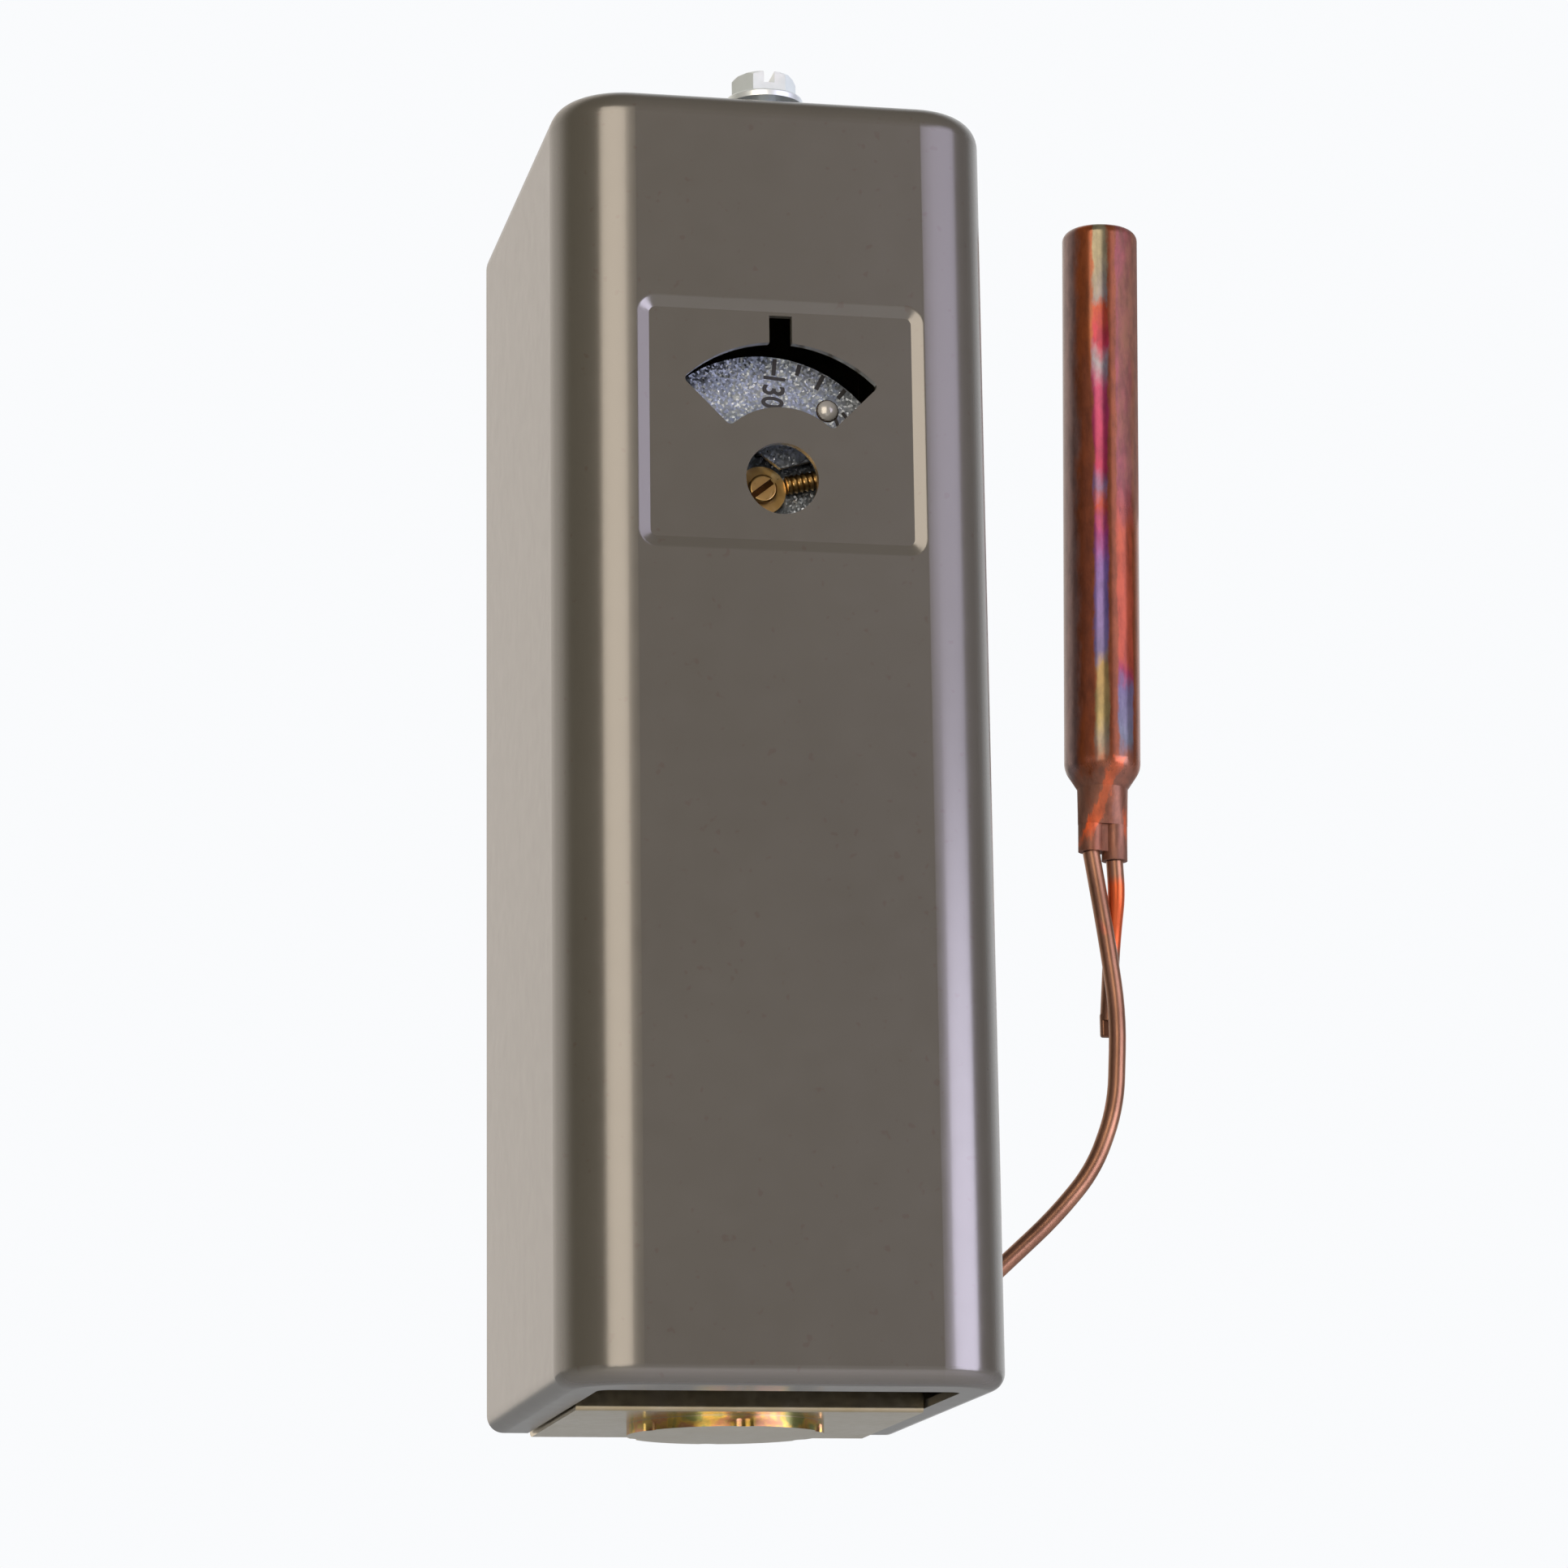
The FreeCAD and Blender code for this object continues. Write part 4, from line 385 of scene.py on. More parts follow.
def make_spangle_group():
    """Crystals of a zinc coat: a tint and a tilted normal for each one."""
    tree, enter, leave = new_group(
        "zinc_spangle",
        [("Scale", "NodeSocketFloat", 4000.0), ("Tilt", "NodeSocketFloat", 0.5)],
        [("Normal", "NodeSocketVector"), ("Tone", "NodeSocketFloat")])
    place = tree.nodes.new("ShaderNodeTexCoord")
    cells = tree.nodes.new("ShaderNodeTexVoronoi")
    connect(tree, place, "Object", cells, "Vector")
    connect(tree, enter, "Scale", cells, "Scale")
    centred = vector_maths_node(tree, "SUBTRACT")
    centred.inputs[1].default_value = (0.5, 0.5, 0.5)
    connect(tree, cells, "Color", centred, 0)
    tilt = vector_maths_node(tree, "SCALE")
    connect(tree, centred, 0, tilt, 0)
    connect(tree, enter, "Tilt", tilt, "Scale")
    shape = tree.nodes.new("ShaderNodeNewGeometry")
    turned = vector_maths_node(tree, "ADD")
    connect(tree, shape, "Normal", turned, 0)
    connect(tree, tilt, 0, turned, 1)
    unit = vector_maths_node(tree, "NORMALIZE")
    connect(tree, turned, 0, unit, 0)
    connect(tree, unit, 0, leave, "Normal")
    split = tree.nodes.new("ShaderNodeSeparateColor")
    connect(tree, cells, "Color", split, 0)
    connect(tree, split, 0, leave, "Tone")
    return tree


MOTTLE = make_mottle_group()
GRAIN = make_grain_group()
EDGES = make_edge_group()
SPANGLE = make_spangle_group()


def place_group(tree, group, **values):
    placed = tree.nodes.new("ShaderNodeGroup")
    placed.node_tree = group
    for key, value in values.items():
        placed.inputs[key.replace("_", " ")].default_value = value
    return placed


def finish_material(name, tone_a, tone_b, speck, roughness, metallic=0.0, ior=1.5, scale=60.0,
                    stretch=(1, 1, 1), grain_scale=900.0, grain_height=0.00002, grain_strength=0.3,
                    speck_scale=400.0, speck_amount=0.1, wear=None):
    """A mottled, grained material with optional worn edges. Roughness is (smooth, rough)."""
    material = bpy.data.materials.new(name)
    material.use_nodes = True
    tree = material.node_tree
    shader = tree.nodes["Principled BSDF"]
    shader.inputs["Metallic"].default_value = metallic
    shader.inputs["IOR"].default_value = ior
    mottle = place_group(tree, MOTTLE, Scale=scale, Stretch=stretch, Tone_A=rgba(tone_a),
                         Tone_B=rgba(tone_b), Speck_Colour=rgba(speck), Speck_Scale=speck_scale,
                         Speck_Amount=speck_amount)
    grain = place_group(tree, GRAIN, Scale=grain_scale, Stretch=stretch, Height=grain_height,
                        Strength=grain_strength)
    connect(tree, grain, "Normal", shader, "Normal")
    levels = map_values(tree, grain, "Grain", 0.0, 1.0, *roughness)
    connect(tree, levels, 0, shader, "Roughness")
    if wear is None:
        connect(tree, mottle, "Colour", shader, "Base Color")
        return material
    edges = place_group(tree, EDGES)
    worn = laid_over(tree, edges, mottle.outputs["Colour"], wear)
    tree.links.new(worn, shader.inputs["Base Color"])
    return material


def lay_over_colour(material, mask, over):
    """Lay a colour or a colour socket over a material's own colour, by a mask node."""
    tree = material.node_tree
    shader = tree.nodes["Principled BSDF"]
    own = shader.inputs["Base Color"].links[0].from_socket
    tree.links.new(laid_over(tree, mask, own, over), shader.inputs["Base Color"])


def taupe_enamel():
    return finish_material("taupe_enamel", (0.075, 0.070, 0.056), (0.082, 0.077, 0.062),
                           (0.06, 0.03, 0.02), (0.19, 0.25), ior=2.0, scale=25.0, grain_scale=420.0,
                           grain_height=0.00003, grain_strength=0.12, speck_scale=900.0,
                           speck_amount=0.25)


def yellow_zinc():
    return finish_material("yellow_zinc", (0.44, 0.37, 0.22), (0.51, 0.45, 0.32), (0.40, 0.26, 0.22),
                           (0.16, 0.28), metallic=1.0, scale=140.0, grain_scale=1200.0,
                           speck_scale=300.0, speck_amount=0.2)


def sheared_yellow_zinc():
    """Yellow zinc of the chassis, gold and iridescent on the sheared wall of the knock-out."""
    material = yellow_zinc()
    material.name = "sheared_yellow_zinc"
    tree = material.node_tree
    low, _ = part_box("chassis")
    place = tree.nodes.new("ShaderNodeTexCoord")
    split = split_axes(tree, place, "Object")
    below = fade(tree, split, "Z", low.z + KNOCKOUT_WALL, low.z + KNOCKOUT_GOLD_SHARE * KNOCKOUT_WALL)
    shape = tree.nodes.new("ShaderNodeNewGeometry")
    level = maths_node(tree, "ABSOLUTE")
    connect(tree, split_axes(tree, shape, "Normal"), "Z", level, 0)
    upright = fade(tree, level, 0, *LEVEL_FADE)
    sheared = calculate(tree, "MULTIPLY", below, upright)
    noise = noise_over(tree, place, "Object", Scale=420.0, Detail=3.0)
    gold = ramp(tree, noise, [(0.36, (0.30, 0.32, 0.12)), (0.46, (0.66, 0.44, 0.10)),
                              (0.56, (0.58, 0.28, 0.16)), (0.64, (0.60, 0.46, 0.16))])
    lay_over_colour(material, sheared, gold.outputs[0])
    return material


def bright_zinc():
    return finish_material("bright_zinc", (0.80, 0.88, 0.90), (0.74, 0.82, 0.83), (0.60, 0.64, 0.44),
                           (0.26, 0.42), metallic=0.5, scale=300.0, grain_scale=2200.0,
                           wear=(0.95, 0.95, 0.96))


def domed_zinc():
    """Zinc of the rivets, with painted shade where a head falls away to its edge at the dial."""
    material = finish_material("domed_zinc", (0.44, 0.44, 0.42), (0.52, 0.52, 0.50), (0.40, 0.40, 0.38),
                               (0.16, 0.28), metallic=0.35, scale=300.0, grain_scale=2200.0)
    tree = material.node_tree
    shape = tree.nodes.new("ShaderNodeNewGeometry")
    facing = split_axes(tree, shape, "True Normal")
    # painted shade on the rim of each rivet head
    lay_over_colour(material, fade(tree, facing, "Y", *RIVET_SEAM_SHADE_FADE), RIVET_SEAM_SHADE)
    return material


def zinc_sheet():
    return finish_material("zinc_sheet", (0.56, 0.58, 0.60), (0.66, 0.68, 0.71), (0.42, 0.43, 0.44),
                           (0.28, 0.44), metallic=1.0, scale=220.0, grain_scale=1500.0,
                           wear=(0.85, 0.87, 0.9))


def spangled_zinc():
    """Bluish zinc sheet whose small crystals sparkle."""
    material = finish_material("spangled_zinc", (0.19, 0.23, 0.28), (0.32, 0.36, 0.41),
                               (0.80, 0.84, 0.90), (0.30, 0.50), metallic=1.0, scale=200.0,
                               grain_scale=3200.0, speck_scale=3800.0, speck_amount=0.5)
    tree = material.node_tree
    shader = tree.nodes["Principled BSDF"]
    crystals = place_group(tree, SPANGLE, Scale=4200.0, Tilt=0.35)
    connect(tree, crystals, "Normal", shader, "Normal")
    levels = map_values(tree, crystals, "Tone", 0.0, 1.0, 0.26, 0.52)
    connect(tree, levels, 0, shader, "Roughness")
    return material


def turned_brass():
    return finish_material("turned_brass", (0.72, 0.47, 0.17), (0.62, 0.38, 0.13), (0.36, 0.20, 0.07),
                           (0.22, 0.40), metallic=1.0, scale=350.0, grain_scale=1800.0,
                           wear=(0.92, 0.70, 0.35))


def adjusting_brass():
    """Brass of the adjusting screw, with painted shade in the stud's slot and around the stud."""
    material = turned_brass()
    material.name = "adjusting_brass"
    tree = material.node_tree
    face_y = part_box("adjusting_screw")[0].y
    place = tree.nodes.new("ShaderNodeTexCoord")
    split = split_axes(tree, place, "Object")
    below_face = fade(tree, split, "Y", face_y + SLOT_SHADE_FROM[0], face_y + SLOT_SHADE_FROM[1])
    above_collar = fade(tree, split, "Y", face_y + SLOT_SHADE_TO[0], face_y + SLOT_SHADE_TO[1])
    # painted shade: dark brown over the slot and round the stud, between these depths behind its face
    lay_over_colour(material, calculate(tree, "MULTIPLY", below_face, above_collar), SLOT_SHADE)
    return material


def rolled_bronze():
    return finish_material("rolled_bronze", (0.60, 0.36, 0.18), (0.52, 0.30, 0.15), (0.3, 0.2, 0.1),
                           (0.25, 0.4), metallic=1.0, scale=200.0)


def spring_steel():
    return finish_material("spring_steel", (0.36, 0.37, 0.39), (0.28, 0.29, 0.31), (0.15, 0.13, 0.12),
                           (0.25, 0.4), metallic=1.0, scale=300.0, wear=(0.6, 0.62, 0.64))


def black_phenolic():
    return finish_material("black_phenolic", (0.018, 0.018, 0.020), (0.028, 0.027, 0.027),
                           (0.10, 0.09, 0.08), (0.32, 0.5), scale=120.0, grain_scale=1600.0,
                           wear=(0.09, 0.085, 0.08))


def amber_fibre():
    return finish_material("amber_fibre", (0.30, 0.17, 0.07), (0.38, 0.22, 0.09), (0.2, 0.1, 0.04),
                           (0.3, 0.45), scale=300.0, grain_scale=2500.0)


def white_nylon():
    return finish_material("white_nylon", (0.72, 0.71, 0.67), (0.78, 0.77, 0.73), (0.6, 0.57, 0.5),
                           (0.3, 0.4), scale=200.0)


def green_zinc():
    return finish_material("green_zinc", (0.04, 0.30, 0.12), (0.06, 0.36, 0.16), (0.4, 0.45, 0.3),
                           (0.22, 0.38), metallic=0.85, scale=300.0, wear=(0.55, 0.6, 0.5))


def black_ink():
    return finish_material("black_ink", (0.008, 0.008, 0.009), (0.014, 0.014, 0.016), (0.05, 0.05, 0.06),
                           (0.45, 0.6), scale=1500.0)


def upright_strip(tree, across, shares):
    """Mask of a strip along the bulb, given in shares of its radius."""
    low, high = shares
    rising = fade(tree, across, 0, low, low + STRIP_SOFTNESS)
    falling = fade(tree, across, 0, high, high - STRIP_SOFTNESS)
    return calculate(tree, "MULTIPLY", rising, falling)


def wandering_place(tree, place, streaks):
    """The bulb's own coordinates moved by noise, so that its tints and strips have uneven edges."""
    wobble = noise_over(tree, streaks, 0, Scale=520.0, Detail=5.0, Roughness=0.7)
    centred = vector_maths_node(tree, "SUBTRACT")
    centred.inputs[1].default_value = (0.5, 0.5, 0.5)
    connect(tree, wobble, "Color", centred, 0)
    moved = vector_maths_node(tree, "MULTIPLY_ADD")
    moved.inputs[1].default_value = TINT_WOBBLE
    connect(tree, centred, 0, moved, 0)
    connect(tree, place, "Object", moved, 2)
    return moved


def across_bulb(tree, moved, middle):
    """How far to the right of the bulb's leaning axis a point lies, in shares of its radius."""
    lean = Vector((1.0, 0.0, -math.tan(math.radians(BULB_LEAN_DEG))))
    sideways = vector_maths_node(tree, "DOT_PRODUCT")
    sideways.inputs[1].default_value = lean / BULB_RADIUS
    connect(tree, moved, 0, sideways, 0)
    from_axis = maths_node(tree, "SUBTRACT")
    from_axis.inputs[1].default_value = middle.dot(lean) / BULB_RADIUS
    connect(tree, sideways, "Value", from_axis, 0)
    return from_axis


def bare_streaks(tree, across, rise, patches):
    """Mask of the neck's painted highlight streaks, bright orange for the lamps' reflections on the
    copper.
    """
    slanted = maths_node(tree, "MULTIPLY_ADD")
    slanted.inputs[1].default_value = HIGHLIGHT_LEAN
    connect(tree, rise, 0, slanted, 0)
    connect(tree, across, 0, slanted, 2)
    crossing = calculate(tree, "MULTIPLY", upright_strip(tree, slanted, LEANING_HIGHLIGHT_STRIP),
                         fade(tree, rise, 0, *LEANING_HIGHLIGHT_TOP_FADE))
    at_right = calculate(tree, "MULTIPLY", upright_strip(tree, across, RIGHT_HIGHLIGHT_STRIP),
                         fade(tree, rise, 0, *RIGHT_HIGHLIGHT_TOP_FADE))
    streaks = calculate(tree, "MAXIMUM", crossing, at_right)
    above_foot = fade(tree, rise, 0, *HIGHLIGHT_FOOT_FADE)
    return calculate(tree, "MULTIPLY", calculate(tree, "MULTIPLY", streaks, above_foot), patches)


def haze_mask(tree, across, rise, patches):
    """Mask of the haze over the neck and over the right of the upper half."""
    upper = fade(tree, rise, 0, *UPPER_FADE)
    upper_right = calculate(tree, "MULTIPLY", fade(tree, across, 0, *RIGHT_FADE), upper)
    neck = fade(tree, rise, 0, *NECK_FADE)
    return calculate(tree, "MULTIPLY", calculate(tree, "MAXIMUM", upper_right, neck), patches)


def stained(tree, streaks, colour):
    """A colour socket with dark stains on it."""
    stains = noise_over(tree, streaks, 0, Scale=900.0, Detail=6.0, Roughness=0.7)
    tone = ramp(tree, stains, [(0.36, (0.50, 0.52, 0.56)), (0.60, (1.0, 1.0, 1.0))])
    _, _, under, stain, result = mix_colours(tree, "MULTIPLY", 0.7)
    tree.links.new(colour, under)
    tree.links.new(tone.outputs[0], stain)
    return result


def tinted_copper():
    """The bulb's copper: brown from the brazing heat, with tints that change up its height."""
    low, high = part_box("bulb")
    material = bpy.data.materials.new("tinted_copper")
    material.use_nodes = True
    tree = material.node_tree
    shader = tree.nodes["Principled BSDF"]
    shader.inputs["Metallic"].default_value = 0.5
    grain = place_group(tree, GRAIN, Scale=500.0, Stretch=(1.0, 1.0, 0.15), Height=0.00004,
                        Strength=0.25)
    connect(tree, grain, "Normal", shader, "Normal")
    place = tree.nodes.new("ShaderNodeTexCoord")
    streaks = vector_maths_node(tree, "MULTIPLY")
    streaks.inputs[1].default_value = STREAK_STRETCH
    connect(tree, place, "Object", streaks, 0)
    moved = wandering_place(tree, place, streaks)
    rise = map_values(tree, split_axes(tree, moved, 0), "Z", low.z, high.z)
    across = across_bulb(tree, moved, (low + high) / 2)
    smoke = noise_over(tree, streaks, 0, Scale=150.0, Detail=5.0, Roughness=0.6)
    glow = ramp(tree, smoke, [(0.48, 0.0), (0.66, 1.0)])
    patches = ramp(tree, smoke, [(0.36, 0.3), (0.52, 1.0)])
    haze = haze_mask(tree, across, rise, patches)
    colour = laid_over(tree, glow, COPPER_BROWN, COPPER_ORANGE)
    for strip, tints in ((FRONT_STRIP, FRONT_TINTS), (SIDE_STRIP, SIDE_TINTS)):
        colour = laid_over(tree, upright_strip(tree, across, strip), colour,
                           ramp(tree, rise, tints).outputs[0])
    colour = laid_over(tree, haze, colour, COPPER_HAZE)
    colour = laid_over(tree, fade(tree, across, 0, *FAR_LEFT_FADE), colour, COPPER_LEFT_HAZE)
    # painted highlight: bright orange streaks on the neck
    colour = laid_over(tree, bare_streaks(tree, across, rise, patches), colour, COPPER_PAINTED_HIGHLIGHT)
    tree.links.new(stained(tree, streaks, colour), shader.inputs["Base Color"])
    levels = map_values(tree, haze, 0, 0.0, 1.0, 0.20, 0.66)
    connect(tree, levels, 0, shader, "Roughness")
    return material


def dull_copper(name="dull_copper"):
    """The capillary's copper: brown and grey, with a little shine left."""
    return finish_material(name, (0.20, 0.095, 0.055), (0.38, 0.19, 0.11), (0.46, 0.13, 0.08),
                           (0.26, 0.44), metallic=0.7, scale=210.0, stretch=(1.0, 1.0, 0.4),
                           grain_height=0.00004, speck_scale=300.0, speck_amount=0.6)


def bared_copper():
    """The charge tube's copper: dull, with a bare length that starts below the bulb's lobe."""
    low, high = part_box("charge_tube")
    material = dull_copper("bared_copper")
    tree = material.node_tree
    place = tree.nodes.new("ShaderNodeTexCoord")
    rise = map_values(tree, split_axes(tree, place, "Object"), "Z", low.z, high.z)
    above = fade(tree, rise, 0, *TUBE_BARE_FOOT_FADE)
    below = fade(tree, rise, 0, *TUBE_BARE_TOP_FADE)
    lay_over_colour(material, calculate(tree, "MULTIPLY", above, below), TUBE_BARE)
    return material


FINISHES = {
    "taupe_paint": taupe_enamel(),
    "zinc_plated": bright_zinc(),
    "yellow_zinc": yellow_zinc(),
    "zinc_sheet": zinc_sheet(),
    "spangled_zinc": spangled_zinc(),
    "brass": turned_brass(),
    "bronze": rolled_bronze(),
    "spring_steel": spring_steel(),
    "black_phenolic": black_phenolic(),
    "clear_amber": amber_fibre(),
    "white_plastic": white_nylon(),
    "green_screw": green_zinc(),
    "heat_tinted_copper": tinted_copper(),
}

NODE_FINISHES = {
    "capillary": dull_copper(),
    "charge_tube": bared_copper(),
    "dial_hub": FINISHES["spangled_zinc"],
    "dial_rivets": domed_zinc(),
    "adjusting_screw": adjusting_brass(),
    "chassis": sheared_yellow_zinc(),
}


def dress_cad_nodes():
    for part in frame["record"]["subparts"]:
        finish = NODE_FINISHES.get(part["node"], FINISHES[part["material_slot"]])
        for holder in node(part["node"]).material_slots:
            holder.material = finish


def scene_object(name, data):
    """A new object in the scene."""
    made = bpy.data.objects.new(name, data)
    bpy.context.scene.collection.objects.link(made)
    return made


# Pieces

def mesh_piece(name, build, material, body, smooth=False):
    """Make an object from a function that fills a bmesh, and let it ride on a body if one is named."""
    shape = bmesh.new()
    build(shape)
    mesh = bpy.data.meshes.new(name)
    shape.normal_update()
    shape.to_mesh(mesh)
    shape.free()
    for polygon in mesh.polygons:
        polygon.use_smooth = smooth
    piece = scene_object(name, mesh)
    mesh.materials.append(material)
    if body:
        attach(piece, body)
    return piece


DIAL_LOW, DIAL_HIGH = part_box("dial")
DIAL_CENTRE = Vector(((DIAL_LOW.x + DIAL_HIGH.x) / 2, DIAL_LOW.y, (DIAL_LOW.z + DIAL_HIGH.z) / 2))
DIAL_RADIUS = (DIAL_HIGH.x - DIAL_LOW.x) / 2


def on_dial(angle_deg, radius, sideways=0.0, lift=0.0):
    """A point on the dial's face, clockwise from the top as seen from the front."""
    angle = math.radians(angle_deg)
    along = Vector((math.sin(angle), 0, math.cos(angle)))
    across = Vector((math.cos(angle), 0, -math.sin(angle)))
    return DIAL_CENTRE + along * radius + across * sideways + Vector((0, -lift, 0))


def add_slab(shape, corners, thickness):
    """A thin slab on the dial's face, from its outline as seen from the front."""
    front = [shape.verts.new(corner + Vector((0, -thickness, 0))) for corner in corners]
    back = [shape.verts.new(corner) for corner in corners]
    shape.faces.new(front)
    shape.faces.new(back[::-1])
    for i in range(len(corners)):
        j = (i + 1) % len(corners)
        shape.faces.new((front[j], front[i], back[i], back[j]))


def add_ticks(shape):
    for i in range(SCALE_TICKS):
        angle = SCALE_START_DEG + i * SCALE_STEP_DEG
        length = MIDDLE_TICK_LENGTH if i % (TICKS_PER_NUMBER // 2) == 0 else TICK_LENGTH
        outer = DIAL_RADIUS - TICK_OUTER_INSET
        half = TICK_WIDTH / 2
        add_slab(shape, [on_dial(angle, outer, -half), on_dial(angle, outer, half),
                         on_dial(angle, outer - length, half), on_dial(angle, outer - length, -half)],
                 PRINT_THICKNESS)


def dial_number(text, angle_deg, ink):
    """A number that reads from the rim to the centre, as a thin mesh on the dial's face."""
    curve = bpy.data.curves.new("number_" + text, "FONT")
    curve.body = text
    curve.size = NUMBER_HEIGHT
    curve.align_x = "CENTER"
    curve.align_y = "CENTER"
    curve.extrude = PRINT_THICKNESS
    curve.offset = NUMBER_BOLDNESS
    holder = scene_object("number_" + text, curve)
    shown = holder.evaluated_get(bpy.context.evaluated_depsgraph_get())
    mesh = bpy.data.meshes.new_from_object(shown)
    bpy.data.objects.remove(holder)
    angle = math.radians(angle_deg)
    inward = Vector((-math.sin(angle), 0, -math.cos(angle)))
    out = Vector((0, -1, 0))
    up = out.cross(inward)
    turn = Matrix((inward, up, out)).transposed().to_4x4()
    narrow = Matrix.Diagonal((NUMBER_NARROWING, 1, 1, 1))
    mesh.transform(Matrix.Translation(on_dial(angle_deg, NUMBER_RADIUS)) @ turn @ narrow)
    piece = scene_object("dial_number_" + text, mesh)
    mesh.materials.clear()
    mesh.materials.append(ink)
    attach(piece, "dial")


def print_dial():
    ink = black_ink()
    mesh_piece("dial_ticks", add_ticks, ink, "dial")
    for i in range(0, SCALE_TICKS, TICKS_PER_NUMBER):
        number = SCALE_FIRST_NUMBER + SCALE_NUMBER_STEP * (i // TICKS_PER_NUMBER)
        dial_number(str(number), SCALE_START_DEG + i * SCALE_STEP_DEG, ink)


def add_ring(shape, middle, across, side, radii):
    """A ring of points round a middle, with a radius for each."""
    ring = []
    for k, radius in enumerate(radii):
        angle = 2 * math.pi * k / len(radii)
        out = across * math.cos(angle) + side * math.sin(angle)
        ring.append(shape.verts.new(middle + out * radius))
    return ring


def skin_rings(shape, rings):
    """Faces between neighbouring rings, and one over each end."""
    for lower, upper in zip(rings, rings[1:]):
        for k in range(len(lower)):
            j = (k + 1) % len(lower)
            shape.faces.new((lower[k], lower[j], upper[j], upper[k]))
    shape.faces.new(rings[0][::-1])
    shape.faces.new(rings[-1])


def add_thread(shape, place, axis, across, length, radius, depth, pitch):
    """A threaded rod's surface: its radius rises and falls along a helix."""
    side = axis.cross(across)
    rows = int(length / pitch * THREAD_ROWS_PER_PITCH) + 1
    rings = []
    for i in range(rows + 1):
        along = length * i / rows
        phases = [(along / pitch - k / THREAD_SIDES) % 1.0 for k in range(THREAD_SIDES)]
        radii = [radius - depth * 2 * abs(phase - 0.5) for phase in phases]
        rings.append(add_ring(shape, place + axis * along, across, side, radii))
    skin_rings(shape, rings)


def add_turned(shape, place, axis, across, profile):
    """A turned solid from a profile of (along, radius) points."""
    side = axis.cross(across)
    skin_rings(shape, [add_ring(shape, place + axis * along, across, side, [radius] * HEAD_SIDES)
                       for along, radius in profile])


def thread_cover_screw():
    """Thread on the part of the cover screw that stands out of the cover."""
    middle = box_centre("cover_screw")
    _, cover_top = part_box("cover")
    start = Vector((middle.x, middle.y, cover_top.z + COVER_SCREW_STANDOFF))

    def build(shape):
        add_thread(shape, start, Vector((0, 0, -1)), Vector((1, 0, 0)), COVER_SCREW_THREAD_LENGTH,
                   COVER_SCREW_CREST_RADIUS, COVER_SCREW_THREAD_DEPTH, COVER_SCREW_PITCH)
    mesh_piece("cover_screw_thread", build, FINISHES["zinc_plated"], "cover_screw",
               smooth=True)


def thread_calibration_screw():
    """The calibration screw with its fine thread and plain head, in the place of the plain one."""
    turn = math.radians(CALIBRATION_TURN_DEG)
    axis = Vector((math.cos(turn), 0, math.sin(turn)))
    across = Vector((0, -1, 0))
    low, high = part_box("calibration_screw")
    length = (high.x - low.x - 2 * CALIBRATION_HEAD_RADIUS * math.sin(turn)) / math.cos(turn)
    start = box_centre("calibration_screw") - axis * length / 2

    def build(shape):
        add_thread(shape, start, axis, across, length - CALIBRATION_HEAD_LENGTH,
                   CALIBRATION_RADIUS, CALIBRATION_THREAD_DEPTH, CALIBRATION_PITCH)
        bevel = CALIBRATION_HEAD_LENGTH / 8
        end = CALIBRATION_HEAD_LENGTH
        add_turned(shape, start + axis * (length - end), axis, across,
                   [(0, CALIBRATION_HEAD_RADIUS), (end - bevel, CALIBRATION_HEAD_RADIUS),
                    (end, CALIBRATION_HEAD_RADIUS - bevel)])
    piece = mesh_piece("calibration_screw_threaded", build, FINISHES["brass"], "dial")
    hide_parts("calibration_screw")


def add_coil(shape, start, length, coil_radius, first_turn, last_turn):
    """Some turns of a coil of round wire along Y whose end turns are closed."""
    closed_pitch = (2 + SPRING_CLOSED_GAP) * SPRING_WIRE_RADIUS
    open_turns = SPRING_TURNS - 2 * SPRING_CLOSED_TURNS
    open_pitch = (length - 2 * SPRING_CLOSED_TURNS * closed_pitch) / open_turns
    steps = int((last_turn - first_turn) * SPRING_STEPS_PER_TURN)
    rings = []
    for i in range(steps + 1):
        turn = first_turn + (last_turn - first_turn) * i / steps
        closed = min(turn, SPRING_CLOSED_TURNS) + max(turn - SPRING_CLOSED_TURNS - open_turns, 0)
        along = closed * closed_pitch + (turn - closed) * open_pitch
        out = Vector((math.cos(2 * math.pi * turn), 0, math.sin(2 * math.pi * turn)))
        middle = start + Vector((0, along, 0)) + out * coil_radius
        rings.append(add_ring(shape, middle, out, Vector((0, 1, 0)),
                              [SPRING_WIRE_RADIUS] * SPRING_WIRE_SIDES))
    skin_rings(shape, rings)


def wind_range_spring():
    """The range spring, wound in a front half and a rear half."""
    low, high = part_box("range_spring")
    middle = (low + high) / 2
    coil_radius = (high.x - low.x) / 2 - SPRING_WIRE_RADIUS
    start = Vector((middle.x, low.y + SPRING_WIRE_RADIUS, middle.z))
    length = high.y - low.y - 2 * SPRING_WIRE_RADIUS

    def half_spring(name, turns):
        def build(shape):
            add_coil(shape, start, length, coil_radius, *turns)
        piece = mesh_piece(name, build, FINISHES["spring_steel"], None, smooth=True)
        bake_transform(piece)
        return piece
    half = SPRING_TURNS / 2
    front = half_spring("range_spring_front", (0, half))
    rear = half_spring("range_spring_rear", (half, SPRING_TURNS))
    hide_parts("range_spring")
    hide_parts("range_spring")


# Stage, lights and camera

def make_floor():
    mesh = bpy.data.meshes.new("floor")
    reach = FLOOR_REACH
    mesh.from_pydata([(-reach, -reach, FLOOR_Z), (reach, -reach, FLOOR_Z), (reach, reach, FLOOR_Z),
                      (-reach, reach, FLOOR_Z)], [], [(0, 1, 2, 3)])
    floor = scene_object("floor", mesh)
    mesh.materials.append(finish_material("pale_floor", (0.80, 0.81, 0.82), (0.82, 0.83, 0.84),
                                          (0.8, 0.8, 0.8), (0.6, 0.7), scale=2.0))


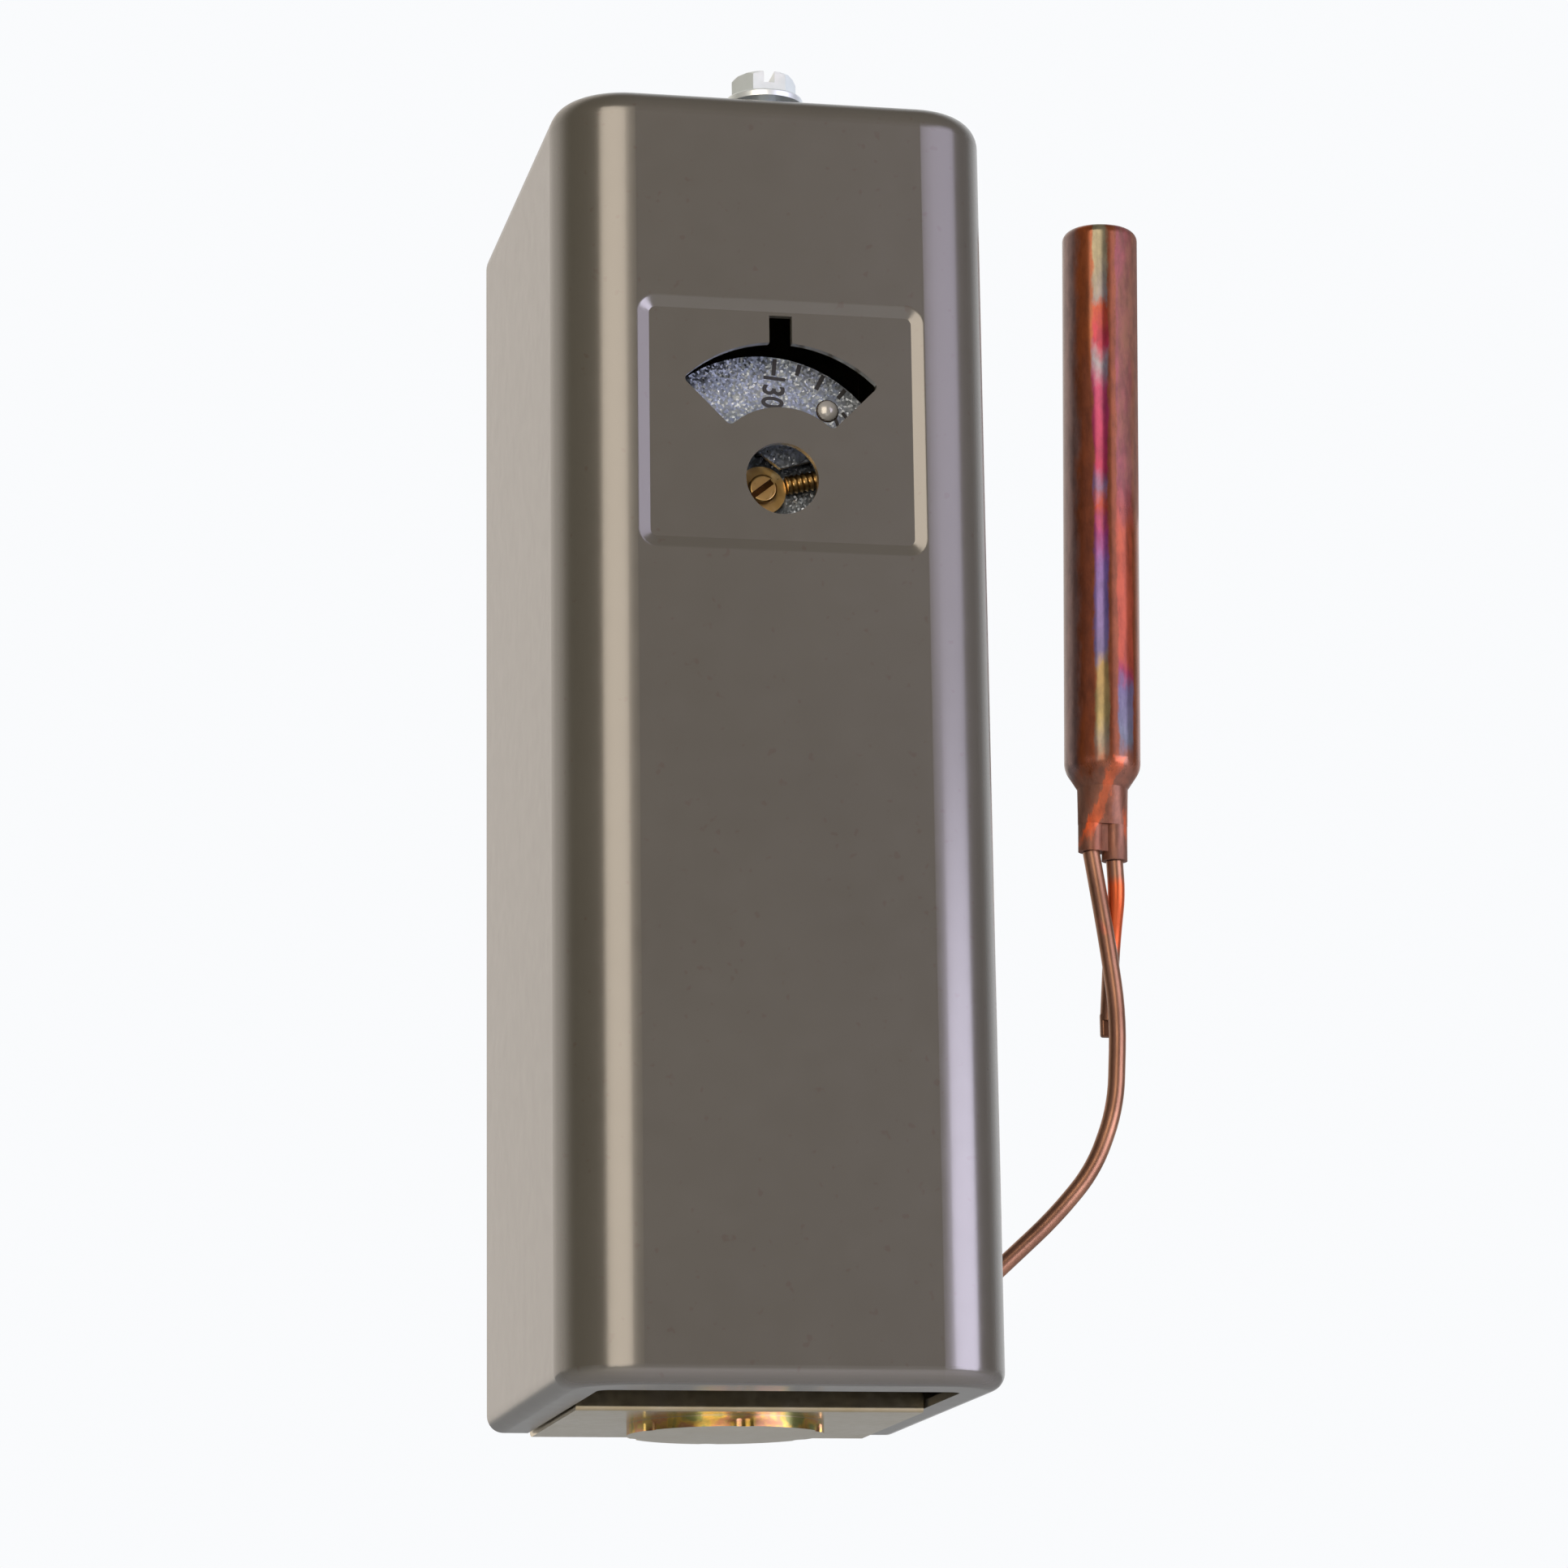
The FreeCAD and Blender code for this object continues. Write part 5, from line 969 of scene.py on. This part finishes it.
def make_world():
    """White behind the object for the camera, and a room that is dark in front for reflections."""
    world = bpy.data.worlds.new("studio")
    bpy.context.scene.world = world
    world.use_nodes = True
    tree = world.node_tree
    tree.nodes.clear()
    paths = tree.nodes.new("ShaderNodeLightPath")
    direction = tree.nodes.new("ShaderNodeTexCoord")
    split = split_axes(tree, direction, "Generated")
    behind = fade(tree, split, "Y", *ROOM_BACK_FADE, ROOM_FRONT_DIM, 1.0)
    to_right = fade(tree, split, "X", *ROOM_RIGHT_FADE)
    tint = laid_over(tree, to_right, ROOM_LEFT_TINT, ROOM_RIGHT_TINT)
    room = tree.nodes.new("ShaderNodeBackground")
    tree.links.new(tint, room.inputs["Color"])
    connect(tree, behind, 0, room, "Strength")
    sky = shader_node(tree, "ShaderNodeBackground", Color=rgba((1.0, 1.0, 1.0)),
                      Strength=SKY_STRENGTH)
    backdrop = shader_node(tree, "ShaderNodeBackground", Color=rgba(BACKDROP_WHITE))
    reflected = calculate(tree, "MAXIMUM", paths, paths, ("Is Glossy Ray", "Is Transmission Ray"))
    lit = tree.nodes.new("ShaderNodeMixShader")
    connect(tree, reflected, 0, lit, 0)
    connect(tree, sky, 0, lit, 1)
    connect(tree, room, 0, lit, 2)
    seen = tree.nodes.new("ShaderNodeMixShader")
    connect(tree, paths, "Is Camera Ray", seen, 0)
    connect(tree, lit, 0, seen, 1)
    connect(tree, backdrop, 0, seen, 2)
    out = tree.nodes.new("ShaderNodeOutputWorld")
    connect(tree, seen, 0, out, "Surface")


def softbox(name, azimuth_deg, elevation_deg, width, height, radiance, colour):
    """A rectangular lamp that faces the object. Azimuth is to the right of the front."""
    azimuth = math.radians(azimuth_deg)
    elevation = math.radians(elevation_deg)
    out = Vector((math.sin(azimuth) * math.cos(elevation),
                  -math.cos(azimuth) * math.cos(elevation),
                  math.sin(elevation)))
    lamp = bpy.data.lights.new(name, "AREA")
    lamp.shape = "RECTANGLE"
    lamp.size = width
    lamp.size_y = height
    lamp.color = colour
    lamp.energy = radiance * math.pi * width * height
    holder = scene_object(name, lamp)
    holder.location = LAMP_TARGET + out * LAMP_DISTANCE
    holder.rotation_euler = out.to_track_quat("Z", "Y").to_euler()


def make_lights():
    softbox("left_softbox", azimuth_deg=-25.0, elevation_deg=14.0, width=0.54, height=0.80,
            radiance=3.6, colour=(1.0, 0.86, 0.70))
    softbox("right_upper_softbox", azimuth_deg=46.0, elevation_deg=24.0, width=0.66, height=0.30,
            radiance=2.1, colour=(0.80, 0.74, 0.96))
    softbox("right_lower_softbox", azimuth_deg=48.5, elevation_deg=-2.0, width=0.60, height=0.36,
            radiance=5.6, colour=(0.85, 0.80, 1.0))


def make_camera():
    camera = bpy.data.cameras.new("camera")
    camera.sensor_fit = "HORIZONTAL"
    camera.sensor_width = SENSOR_WIDTH
    camera.lens = CAMERA_LENS
    holder = scene_object("camera", camera)
    holder.location = CAMERA_PLACE
    holder.rotation_euler = [math.radians(turn) for turn in CAMERA_TURN]
    bpy.context.scene.camera = holder
    bpy.context.scene.view_settings.view_transform = "Standard"


make_camera()
make_world()
make_lights()
make_floor()
dress_cad_nodes()
print_dial()
thread_cover_screw()
thread_calibration_screw()
wind_range_spring()
